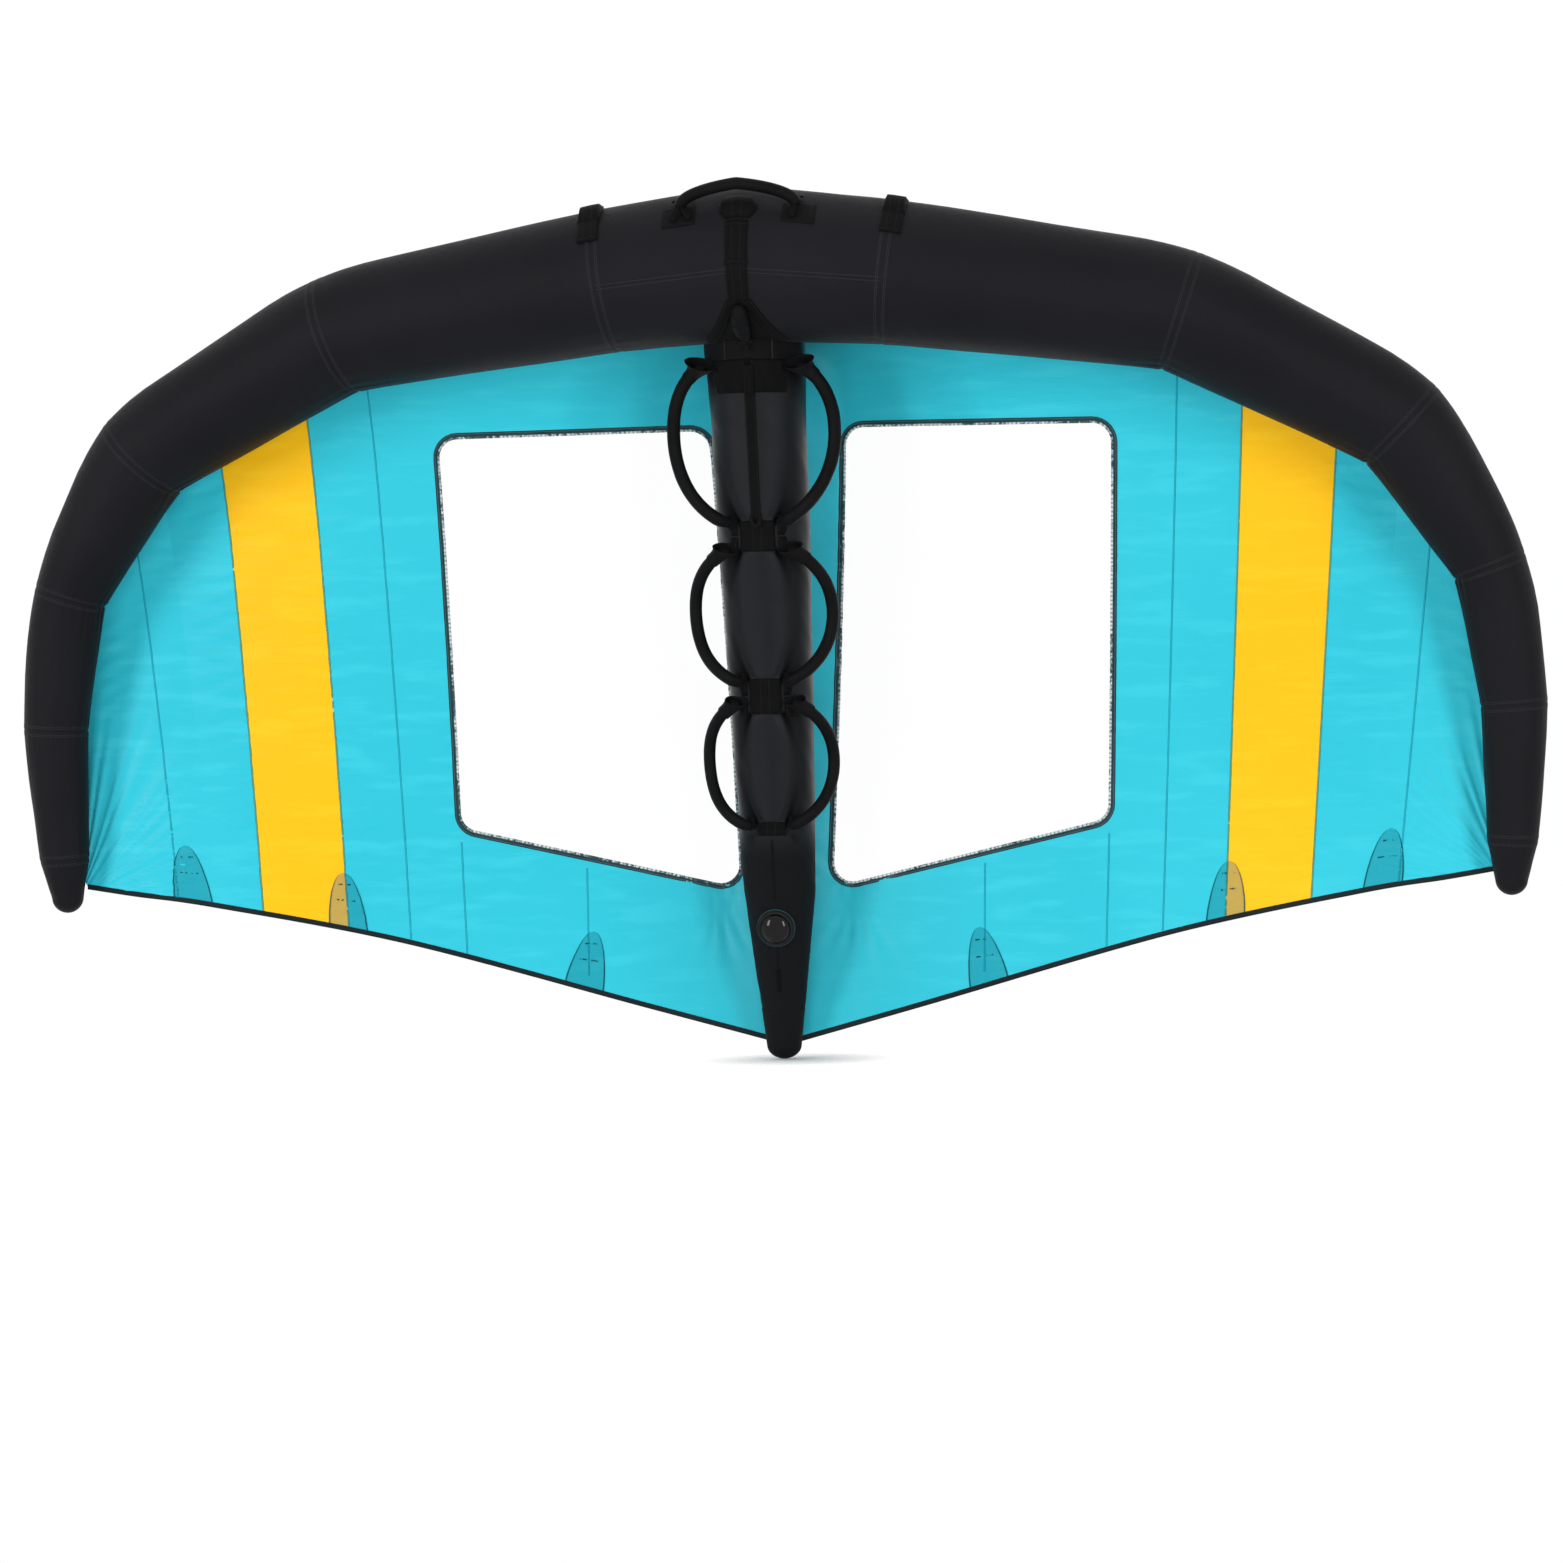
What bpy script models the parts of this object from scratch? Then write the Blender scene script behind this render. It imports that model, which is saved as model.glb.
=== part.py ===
"""Inflatable wingfoil wing, 3.3 m span, upright on its tail with the nose up.

Frame: metres, +Z towards the nose, -Y towards the side with the handles, X across the span.
The inflated leading edge is a chain of mitred cones, the strut is coped under its middle, and
the canopy is one curved surface that the cloth panels, windows and tapes all share.
"""
import math

import bmesh
import bpy
from mathutils import Matrix, Vector

for old in list(bpy.data.objects):
    bpy.data.objects.remove(old, do_unlink=True)

PARTS = bpy.data.collections.new("wingfoil_wing")
CUTTERS = bpy.data.collections.new("cutters")
for collection in (PARTS, CUTTERS):
    bpy.context.scene.collection.children.link(collection)

# Overall sizes
HALF_WIDTH = 1.559          # centre plane to the tube's axis where the wing is widest
NOSE_HEIGHT = 1.672         # tube axis at the nose above the tail's lowest point
DEPTH = 0.125               # nose axis in front of the reference plane
FRAME_FORWARD = 0.0132      # reference plane behind the frame's origin
TUBE_RADIUS = 0.160         # leading edge at the nose
STRUT_RADIUS = 0.104        # strut under the nose
CAMBER_DEPTH = 0.170        # canopy's rise off its chord beside the strut

# Cloth, bladders and clearances
TUBE_WALL = 0.0012
CLOTH = 0.0010
FILM = 0.0006
BLADDER_WALL = 0.0005
BLADDER_GAP = 0.0005
SEAM_GAP = 0.0003
SEAT_GAP = 0.0004
CUT_OVERRUN = 0.020
TUBE_SIDES = 24
BLADDER_SIDES = 12

# Leading edge stations from the nose to the tip: x of HALF_WIDTH, y of DEPTH, height of
# NOSE_HEIGHT, radius of TUBE_RADIUS, and the angle round the tube where the canopy is sewn on
STATION_SHARES = (
    (0.000, -1.00, 1.000, 1.000, 155),
    (0.188, -1.00, 0.984, 0.938, 155),
    (0.572, -0.56, 0.931, 0.806, 170),
    (0.861, -0.04, 0.786, 0.688, 175),
    (0.974, 0.20, 0.608, 0.506, 180),
    (1.000, 0.40, 0.436, 0.438, 180),
    (0.994, 0.54, 0.268, 0.334, 180),
    (0.991, 0.58, 0.219, 0.212, 180),
)
TIP_STEPS = 3

# Trailing edge under each station: x of HALF_WIDTH, y of DEPTH, height of NOSE_HEIGHT, and the
# camber there of CAMBER_DEPTH
TRAILING_SHARES = (
    (0.0000, 1.640, 0.0167, 1.00),
    (0.1924, 1.600, 0.0658, 0.82),
    (0.5260, 1.360, 0.1525, 0.30),
    (0.7877, 0.944, 0.2033, 0.20),
    (0.8980, 0.880, 0.2189, 0.15),
    (0.9461, 0.880, 0.2261, 0.09),
    (0.9680, 0.864, 0.2297, 0.03),
)
CAMBER_PEAK_SHARE = 0.30

# Strut stations from inside the leading edge to the tail: height of NOSE_HEIGHT, y of DEPTH,
# radius of STRUT_RADIUS
STRUT_SHARES = (
    (0.9690, -0.680, 1.000),
    (0.8700, -0.400, 1.000),
    (0.7940, -0.200, 0.952),
    (0.6810, 0.112, 0.942),
    (0.5800, 0.368, 0.889),
    (0.4545, 0.656, 0.846),
    (0.3786, 0.816, 0.808),
    (0.2883, 0.992, 0.769),
    (0.2153, 1.112, 0.731),
    (0.1639, 1.192, 0.635),
    (0.0742, 1.280, 0.462),
    (0.0179, 1.320, 0.356),
)
TAIL_SEAM_SHARE = 0.0646    # of NOSE_HEIGHT: the sleeve ends and the tail cap starts
TAIL_SEAM_HEIGHT = NOSE_HEIGHT * TAIL_SEAM_SHARE
VALLEY_HALF = 0.146         # canopy rises from the strut's back to full camber over this width
VALLEY_FADE_SHARES = (0.84, 0.94)

# Canopy panels, as stations along the leading edge
BAND_INNER_SHARE = 2.27
BAND_OUTER_SHARE = 2.70
TIP_SEAM_SHARE = 3.0
TIP_END_SHARE = 6.0
CENTRE_STEPS = 4
TIP_PANEL_STEPS = 2
TIP_LAST_COLUMN_SHARE = 5.75
WINDOW_COLUMN_SHARES = (0.1, 2.1)
PATCH_REACH_SHARE = 0.45

# Window outline: its inner edge, how far it reaches out and leans in, and the heights of its
# upper inner and lower outer corners as shares of NOSE_HEIGHT, with the fall to the other two
WINDOW_INNER = 0.146
WINDOW_WIDTH_SHARE = 0.4689   # of HALF_WIDTH
WINDOW_OUTER_TOP = HALF_WIDTH * WINDOW_WIDTH_SHARE
WINDOW_LEAN = 0.025
WINDOW_OUTER_LOW = WINDOW_OUTER_TOP - WINDOW_LEAN
WINDOW_TOP_SHARE = 0.8038
WINDOW_TOP_FALL = 0.012
WINDOW_LOW_SHARE = 0.2961
WINDOW_LOW_FALL = 0.133
WINDOW_TOP_INNER = NOSE_HEIGHT * WINDOW_TOP_SHARE
WINDOW_TOP_OUTER = WINDOW_TOP_INNER - WINDOW_TOP_FALL
WINDOW_LOW_OUTER = NOSE_HEIGHT * WINDOW_LOW_SHARE
WINDOW_LOW_INNER = WINDOW_LOW_OUTER - WINDOW_LOW_FALL
WINDOW_CORNER = 0.034
BINDING_HALF = 0.006
BINDING_THICK = 0.0010

# Trailing edge tape and its reinforcement patches
TAPE_WIDTH = 0.010
TAPE_WALL = 0.0007
TAPE_GAP = 0.0008
TAPE_START = 0.034
PATCH_LENGTH = 0.125
PATCH_HALF = 0.042
PATCH_THICK = 0.0008
PATCH_SHARES = (0.8191, 0.6062, 0.2810)     # of HALF_WIDTH
PATCH_X = [HALF_WIDTH * share for share in PATCH_SHARES]
PATCH_LEAN_SHARES = (0.06, 0.02, -0.08)

# Webbing, collar and bands, with heights as shares of NOSE_HEIGHT
WEBBING = 0.0022
NOSE_STRAP_HALF = 0.022
NOSE_STRAP_TURNS = (28.5, -36)
HANDLE_PATCH_X = (0.088, 0.148)
HANDLE_PATCH_TURNS = (31, 50)
LOOP_STAND = 0.015
NOSE_LOOP_HALF = 0.026
NOSE_LOOP_TURNS = (30, 54)
SIDE_LOOP_X = 0.300
SIDE_LOOP_HALF = 0.019
SIDE_LOOP_TURNS = (30, 50, 74)
COLLAR_SHARES = (0.8409, 0.8882)
COLLAR_HEIGHTS = [NOSE_HEIGHT * share for share in COLLAR_SHARES]
COLLAR_TURN = 50
COLLAR_SLIT_TURN = 30
COLLAR_SLIT_WIDTH = 0.0030
COLLAR_SLIT_LENGTH = 0.034
BAND_SHARES = ((0.6423, 0.6812), (0.4390, 0.4844), (0.2859, 0.3032))
BAND_HEIGHTS = [[NOSE_HEIGHT * share for share in pair] for pair in BAND_SHARES]
BAND_HALF_TURN = 23
BAND_FLARE_TURN = 33
STRAP_HALF = 0.0105

# Handles: grip radius, radius of the sewn end, flare of the open cuff, and each pair's top and
# bottom heights as shares of NOSE_HEIGHT, its stand off the strut and its turns from the front
GRIP_RADIUS = 0.014
GRIP_END = 0.007
CUFF_RADIUS = 0.021
HANDLE_STEPS = 15
HANDLE_SHARES = ((0.8744, 0.6770), (0.6459, 0.4785), (0.4545, 0.2978))
HANDLE_HEIGHTS = [[NOSE_HEIGHT * share for share in pair] for pair in HANDLE_SHARES]
HANDLE_STAND = (0.085, 0.062, 0.054)
HANDLE_TOP_TURN = (66, 43, 43)
HANDLE_BULGE_TURN = (16, 33, 36)
HANDLE_ROUND_SHARE = 0.55    # how squarely each grip leaves the strut, from 0 square to 1 even
FRONT_HALF = 0.112
SEWN_LENGTH = 0.014
FRONT_STAND = 0.048
FRONT_TURNS = (45, 47)

# One-pump hose between the two bladders
HOSE_RADIUS = 0.0065
HOSE_BORE = 0.0040
HOSE_LEAVE_TURN = -42
HOSE_RISE = 0.017
HOSE_DROP = 0.012
HOSE_DIP = 0.030

# Inflation valve, on the strut's front
VALVE_SHARE = 0.1687         # of NOSE_HEIGHT
VALVE_HEIGHT = NOSE_HEIGHT * VALVE_SHARE
FLANGE_RADIUS = 0.040
COLLAR_RADIUS = 0.0335
COLLAR_RISE = 0.0070
COLLAR_SINK = 0.0140
RECESS_RADIUS = 0.0200
RECESS_FLOOR = -0.0030
NECK_RADIUS = 0.0215
NECK_DEPTH = 0.0300
LIP_RADIUS = 0.0110
LIP_THICK = 0.0020
BORE_RADIUS = 0.0150
BRIDGE_THICK = 0.0025
AIR_HOLE_RADIUS = 0.0035
AIR_HOLE_REACH = 0.0095
AIR_HOLES = 4
STEM_RADIUS = 0.0030
STEM_GAP = 0.0004
DISC_RADIUS = 0.0130
DISC_THICK = 0.0025
PLUNGE = 0.0040
SPRING_RADIUS = 0.0070
SPRING_WIRE = 0.0006
SPRING_TURNS = 4
SPRING_POINTS = 7
CAP_RADIUS = 0.0320
CAP_RISE = 0.0120
CAP_WALL = 0.0018
CAP_RIM = 0.0022
CAP_PLUG_RADIUS = 0.0175
CAP_PLUG_WALL = 0.0020
CAP_PLUG_DEPTH = 0.0030
TETHER_RADIUS = 0.0375
TETHER_THICK = 0.0016
TURNED_STEPS = 24
AIR_HOLE_STEPS = 10
HOSE_SIDES = 8
KEEP_ROW_SHARE = 0.99


def material(name, colour, roughness, alpha=1.0):
    made = bpy.data.materials.new(name)
    made.use_nodes = True
    shader = made.node_tree.nodes["Principled BSDF"]
    shader.inputs["Base Color"].default_value = (*colour, 1.0)
    shader.inputs["Roughness"].default_value = roughness
    shader.inputs["Metallic"].default_value = 0.0
    shader.inputs["Alpha"].default_value = alpha
    return made


TUBE_CLOTH = material("tube_cloth", (0.018, 0.018, 0.020), 0.55)
TURQUOISE = material("turquoise_cloth", (0.02, 0.58, 0.74), 0.45)
YELLOW = material("yellow_cloth", (0.96, 0.56, 0.03), 0.45)
CLEAR_FILM = material("clear_film", (0.95, 0.97, 0.97), 0.08, 0.30)
BINDING = material("binding_tape", (0.020, 0.045, 0.050), 0.6)
PATCH_CLOTH = material("patch_cloth", (0.02, 0.36, 0.46), 0.5)
BLADDER = material("bladder_film", (0.75, 0.77, 0.75), 0.3)
WEB = material("webbing", (0.028, 0.028, 0.030), 0.75)
GRIP = material("grip_foam", (0.035, 0.035, 0.038), 0.7)
HOSE = material("hose_rubber", (0.06, 0.06, 0.062), 0.5)
VALVE_PLASTIC = material("valve_plastic", (0.012, 0.012, 0.014), 0.18)
SPRING_STEEL = material("spring_steel", (0.55, 0.56, 0.58), 0.3)


def catalogue(obj, look):
    """Puts a finished object in the parts collection with its material."""
    PARTS.objects.link(obj)
    if look is not None:
        obj.data.materials.append(look)
    return obj


def hidden(obj):
    """Marks an object as a cutter that only other objects read."""
    CUTTERS.objects.link(obj)
    obj.hide_render = True
    obj.display_type = "WIRE"
    return obj


def boolean(obj, operation, other):
    step = obj.modifiers.new(operation.lower(), "BOOLEAN")
    step.operation = operation
    step.object = other
    step.solver = "EXACT"
    return step


def mesh_object(name, shape):
    """Turns a bmesh into an object with outward normals and soft shading."""
    bmesh.ops.recalc_face_normals(shape, faces=shape.faces)
    mesh = bpy.data.meshes.new(name)
    shape.to_mesh(mesh)
    shape.free()
    mesh.shade_smooth()
    mesh.set_sharp_from_angle(angle=math.radians(40))
    return bpy.data.objects.new(name, mesh)


def smooth_step(value):
    value = min(1.0, max(0.0, value))
    return value * value * (3.0 - 2.0 * value)


def spline(rows, column, place):
    """Reads one column of a table of stations with a smooth curve through its rows."""
    last = len(rows) - 1
    k = min(int(place), last - 1)
    share = place - k
    straight = column in (0, 2)
    first = 2 * rows[0][column] - rows[1][column] if straight else rows[1][column]
    before = rows[k - 1][column] if k > 0 else first
    after = rows[k + 2][column] if k + 2 <= last else rows[last][column]
    a, b = rows[k][column], rows[k + 1][column]
    return 0.5 * (2 * a + (b - before) * share + (2 * before - 5 * a + 4 * b - after) * share ** 2
                  + (3 * a - before - 3 * b + after) * share ** 3)


# Leading edge
AXIS = [
    Vector((HALF_WIDTH * x, FRAME_FORWARD + DEPTH * y, NOSE_HEIGHT * z))
    for x, y, z, radius, turn in STATION_SHARES
]
RADII = [TUBE_RADIUS * row[3] for row in STATION_SHARES]
LAST = len(AXIS) - 1
FRONT = Vector((0, -1, 0))
RUNS = [(AXIS[k + 1] - AXIS[k]).normalized() for k in range(LAST)]


def ring_frame(k):
    """Centre, tangent, front and outward directions of the mitre plane at station k."""
    if k == 0:
        tangent = Vector((1, 0, 0))
    elif k == LAST:
        tangent = RUNS[-1]
    else:
        tangent = (RUNS[k - 1] + RUNS[k]).normalized()
    run = RUNS[min(k, LAST - 1)]
    front = (FRONT - tangent * FRONT.dot(tangent)).normalized()
    outward = front.cross(tangent) / tangent.dot(run)
    return AXIS[k], tangent, front, outward


FRAMES = [ring_frame(k) for k in range(LAST + 1)]


def ring_point(k, turn, lift):
    centre, tangent, front, outward = FRAMES[k]
    reach = RADII[k] + lift
    angle = math.radians(turn)
    return centre + (front * math.cos(angle) + outward * math.sin(angle)) * reach


def tube_point(place, turn, lift):
    """Point on the leading edge: place counts stations, turn 0 is the front, 90 the outer edge."""
    k = min(int(place), LAST - 1)
    return ring_point(k, turn, lift).lerp(ring_point(k + 1, turn, lift), place - k)


def mirrored(point, sign):
    return Vector((point.x * sign, point.y, point.z))


def nose_point(x, turn, lift):
    """Point on the leading edge near the nose, by its x."""
    reach = abs(x)
    k = 0 if reach <= AXIS[1].x else 1
    share = (reach - AXIS[k].x) / (AXIS[k + 1].x - AXIS[k].x)
    return mirrored(tube_point(k + share, turn, lift), -1 if x < 0 else 1)


def ring(place, lift, sides, sign=1):
    return [
        mirrored(tube_point(place, 360.0 * side / sides, lift), sign) for side in range(sides)
    ]


def tip_rings(lift, sides, sign):
    """Rings of the rounded tip beyond the last station, and its pole."""
    centre, tangent, front, outward = FRAMES[LAST]
    reach = RADII[LAST] + lift
    rings = []
    for step in range(TIP_STEPS):
        angle = math.pi / 2 * step / TIP_STEPS
        middle = centre + tangent * reach * math.sin(angle)
        row = []
        for side in range(sides):
            turn = 2 * math.pi * side / sides
            spoke = front * math.cos(turn) + outward * math.sin(turn)
            row.append(mirrored(middle + spoke * reach * math.cos(angle), sign))
        rings.append(row)
    return rings, mirrored(centre + tangent * reach, sign)


def add_skin(shape, rings, start_pole=None, end_pole=None):
    """Adds a lofted skin through rings of equal length, closed to a pole where one is given."""
    rows = [[shape.verts.new(point) for point in row] for row in rings]
    count = len(rows[0])
    for low, high in zip(rows, rows[1:]):
        for side in range(count):
            nxt = (side + 1) % count
            shape.faces.new((low[side], low[nxt], high[nxt], high[side]))
    for pole, row in ((start_pole, rows[0]), (end_pole, rows[-1])):
        if pole is not None:
            tip = shape.verts.new(pole)
            for side in range(count):
                shape.faces.new((row[side], row[(side + 1) % count], tip))
    return rows


def hollow(name, outer, inner, outer_poles=(None, None), inner_poles=(None, None)):
    """A shell between two skins; where there is no pole its end is an open rim."""
    shape = bmesh.new()
    rows_out = add_skin(shape, outer, *outer_poles)
    rows_in = add_skin(shape, inner, *inner_poles)
    count = len(rows_out[0])
    for end, pole in ((0, outer_poles[0]), (-1, outer_poles[1])):
        if pole is None:
            for side in range(count):
                nxt = (side + 1) % count
                shape.faces.new(
                    (rows_out[end][side], rows_out[end][nxt], rows_in[end][nxt], rows_in[end][side])
                )
    made = mesh_object(name, shape)
    if None not in outer_poles:
        flip_inner(made, len(outer) * count + len(outer_poles))
    return made


def flip_inner(obj, first_inner):
    """Turns the inner skin of a closed hollow inwards; its vertices come after the outer ones."""
    shape = bmesh.new()
    shape.from_mesh(obj.data)
    inside = [face for face in shape.faces if face.verts[0].index >= first_inner]
    bmesh.ops.reverse_faces(shape, faces=inside)
    shape.to_mesh(obj.data)
    shape.free()


def solid(name, rings, start_pole=None, end_pole=None):
    """A filled loft; an end without a pole is closed flat."""
    shape = bmesh.new()
    rows = add_skin(shape, rings, start_pole, end_pole)
    for end, pole in ((0, start_pole), (-1, end_pole)):
        if pole is None:
            shape.faces.new(rows[end])
    return mesh_object(name, shape)


def seam_step(k):
    """Half a seam's gap as a share of the run after station k."""
    return SEAM_GAP / 2 / (AXIS[k + 1] - AXIS[k]).length


def leading_edge():
    skins = (0.0, -TUBE_WALL)
    end = 1 - seam_step(0)
    outer, inner = (
        [ring(end, lift, TUBE_SIDES, -1), ring(0, lift, TUBE_SIDES), ring(end, lift, TUBE_SIDES)]
        for lift in skins
    )
    middle = catalogue(hollow("le_panel_centre", outer, inner), TUBE_CLOTH)
    for side, sign in (("left", -1), ("right", 1)):
        for k in range(1, LAST - 1):
            places = (k + seam_step(k), k + 1 - seam_step(k))
            outer, inner = (
                [ring(place, lift, TUBE_SIDES, sign) for place in places] for lift in skins
            )
            catalogue(hollow(f"le_panel_{side}_{k}", outer, inner), TUBE_CLOTH)
        start = LAST - 1 + seam_step(LAST - 1)
        outer, outer_pole = tip_rings(0.0, TUBE_SIDES, sign)
        inner, inner_pole = tip_rings(-TUBE_WALL, TUBE_SIDES, sign)
        outer.insert(0, ring(start, 0.0, TUBE_SIDES, sign))
        inner.insert(0, ring(start, -TUBE_WALL, TUBE_SIDES, sign))
        cap = hollow(f"le_tip_cap_{side}", outer, inner, (None, outer_pole), (None, inner_pole))
        catalogue(cap, TUBE_CLOTH)
    return middle


def leading_edge_bladder():
    lift = -TUBE_WALL - BLADDER_GAP
    skins = []
    for level in (lift, lift - BLADDER_WALL):
        left_tip, left_pole = tip_rings(level, BLADDER_SIDES, -1)
        right_tip, right_pole = tip_rings(level, BLADDER_SIDES, 1)
        rings = left_tip[::-1]
        rings += [ring(k, level, BLADDER_SIDES, -1) for k in range(LAST - 1, 0, -1)]
        rings += [ring(k, level, BLADDER_SIDES) for k in range(LAST)]
        skins.append((rings + right_tip, (left_pole, right_pole)))
    (outer, outer_poles), (inner, inner_poles) = skins
    bag = hollow("le_bladder", outer, inner, outer_poles, inner_poles)
    return catalogue(bag, BLADDER)


# Strut
STRUT = [
    (NOSE_HEIGHT * height, FRAME_FORWARD + DEPTH * y, STRUT_RADIUS * radius)
    for height, y, radius in STRUT_SHARES
]


def strut_at(height):
    """Axis y and radius of the strut at a height."""
    for (z0, y0, r0), (z1, y1, r1) in zip(STRUT, STRUT[1:]):
        if height >= z1 or (z1, y1, r1) == STRUT[-1]:
            share = (z0 - height) / (z0 - z1)
            return y0 + (y1 - y0) * share, r0 + (r1 - r0) * share


def strut_point(height, turn, lift):
    """Point on the strut: turn 0 faces the front, positive turns go towards +X."""
    y, radius = strut_at(height)
    angle = math.radians(turn)
    reach = radius + lift
    return Vector((reach * math.sin(angle), y - reach * math.cos(angle), height))


def strut_ring(height, lift, sides):
    return [strut_point(height, 360.0 * side / sides, lift) for side in range(sides)]


def tail_rings(lift, sides):
    """Rings of the rounded tail under the last strut station, and its pole at height zero."""
    low, y, radius = STRUT[-1]
    rings = []
    for step in range(1, TIP_STEPS):
        angle = math.pi / 2 * step / TIP_STEPS
        height = low - (low + lift) * math.sin(angle)
        reach = (radius + lift) * math.cos(angle)
        rings.append([
            Vector((reach * math.sin(turn), y - reach * math.cos(turn), height))
            for turn in (2 * math.pi * side / sides for side in range(sides))
        ])
    return rings, Vector((0, y, -lift))


def strut_cloth():
    seam = TAIL_SEAM_HEIGHT
    above = [row[0] for row in STRUT if row[0] > seam] + [seam + SEAM_GAP / 2]
    below = [seam - SEAM_GAP / 2] + [row[0] for row in STRUT if row[0] < seam]
    outer = [strut_ring(height, 0.0, TUBE_SIDES) for height in above]
    inner = [strut_ring(height, -TUBE_WALL, TUBE_SIDES) for height in above]
    sleeve = catalogue(hollow("strut_sleeve", outer, inner), TUBE_CLOTH)
    skins = []
    for lift in (0.0, -TUBE_WALL):
        end, pole = tail_rings(lift, TUBE_SIDES)
        skins.append(([strut_ring(height, lift, TUBE_SIDES) for height in below] + end, pole))
    (outer, outer_pole), (inner, inner_pole) = skins
    cap = hollow("strut_tail_cap", outer, inner, (None, outer_pole), (None, inner_pole))
    catalogue(cap, TUBE_CLOTH)
    return sleeve


def strut_bladder():
    """Air bag in the strut, closed by a low dome under the leading edge."""
    lift = -TUBE_WALL - BLADDER_GAP
    top = COLLAR_HEIGHTS[1] - DISC_THICK
    crown = AXIS[0].z - RADII[0] - NECK_DEPTH / 2
    skins = []
    for level in (lift, lift - BLADDER_WALL):
        end, pole = tail_rings(level, BLADDER_SIDES)
        heights = [top] + [row[0] for row in STRUT if row[0] < top]
        rings = [strut_ring(height, level, BLADDER_SIDES) for height in heights] + end
        y = strut_at(crown)[0]
        skins.append((rings, (Vector((0, y, crown + level)), pole)))
    (outer, outer_poles), (inner, inner_poles) = skins
    bag = hollow("strut_bladder", outer, inner, outer_poles, inner_poles)
    return catalogue(bag, BLADDER)


# Canopy
STATION_TURNS = [row[4] for row in STATION_SHARES]


def camber_shape(share):
    peak = CAMBER_PEAK_SHARE
    if share < peak:
        return (2 * peak * share - share ** 2) / peak ** 2
    return (1 - 2 * peak + 2 * peak * share - share ** 2) / (1 - peak) ** 2


def canopy_point(place, share, lift):
    """Point on the canopy: place counts stations from the nose, share runs down the chord."""
    reach = abs(place)
    k = min(int(reach), LAST - 1)
    turn = STATION_TURNS[k] + (STATION_TURNS[k + 1] - STATION_TURNS[k]) * (reach - k)
    front = tube_point(reach, turn, SEAM_GAP)
    back = Vector((
        HALF_WIDTH * spline(TRAILING_SHARES, 0, reach),
        FRAME_FORWARD + DEPTH * spline(TRAILING_SHARES, 1, reach),
        NOSE_HEIGHT * spline(TRAILING_SHARES, 2, reach),
    ))
    point = front.lerp(back, share)
    point.y += CAMBER_DEPTH * spline(TRAILING_SHARES, 3, reach) * camber_shape(share)
    low, high = (NOSE_HEIGHT * fade for fade in VALLEY_FADE_SHARES)
    near = (1 - smooth_step(point.x / VALLEY_HALF)) * smooth_step((high - point.z) / (high - low))
    if near > 0:
        y, radius = strut_at(point.z)
        point.y += near * (y + radius + SEAT_GAP - point.y)
    point.y += lift
    return mirrored(point, -1 if place < 0 else 1)


def chord_rows():
    """Shares down the chord, so that at the strut they fall on the strut's own stations."""
    top = canopy_point(0, 0, 0).z
    low = canopy_point(0, 1, 0).z
    fade = NOSE_HEIGHT * VALLEY_FADE_SHARES[1]
    rows = [(top - row[0]) / (top - low) for row in STRUT if low < row[0] < fade]
    first = rows[0]
    rows = [share for share in rows if share < KEEP_ROW_SHARE]
    return [0.0, first / 3, first * 2 / 3] + rows + [1.0]


CHORD = chord_rows()


def plate(name, surface, us, vs, low, high):
    """A thin solid on a surface, between two lifts off it, with the same diagonals in each."""
    us = sorted(us)
    shape = bmesh.new()
    grids = [
        [[shape.verts.new(surface(u, v, lift)) for v in vs] for u in us] for lift in (low, high)
    ]
    for grid in grids:
        for i in range(len(us) - 1):
            a, b = grid[i], grid[i + 1]
            if us[i] + us[i + 1] < 0:
                a, b = b, a
            for j in range(len(vs) - 1):
                shape.faces.new((a[j], a[j + 1], b[j + 1]))
                shape.faces.new((a[j], b[j + 1], b[j]))
    edge = [(i, 0) for i in range(len(us))]
    edge += [(len(us) - 1, j) for j in range(1, len(vs))]
    edge += [(i, len(vs) - 1) for i in range(len(us) - 2, -1, -1)]
    edge += [(0, j) for j in range(len(vs) - 2, 0, -1)]
    for (i, j), (m, n) in zip(edge, edge[1:] + edge[:1]):
        shape.faces.new((grids[0][i][j], grids[0][m][n], grids[1][m][n], grids[1][i][j]))
    return mesh_object(name, shape)


def steps(start, end, count):
    return [start + (end - start) * i / count for i in range(count + 1)]


def prism(name, outline):
    """A cutter that runs through the canopy along Y, from an outline of (x, z)."""
    shape = bmesh.new()
    near, far = FRAME_FORWARD - STRUT_RADIUS, FRAME_FORWARD + DEPTH + CAMBER_DEPTH * 2
    face = shape.faces.new([shape.verts.new((x, near, z)) for x, z in outline])
    grown = bmesh.ops.extrude_face_region(shape, geom=[face])
    moved = [item for item in grown["geom"] if isinstance(item, bmesh.types.BMVert)]
    bmesh.ops.translate(shape, verts=moved, vec=(0, far - near, 0))
    return hidden(mesh_object(name, shape))


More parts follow.
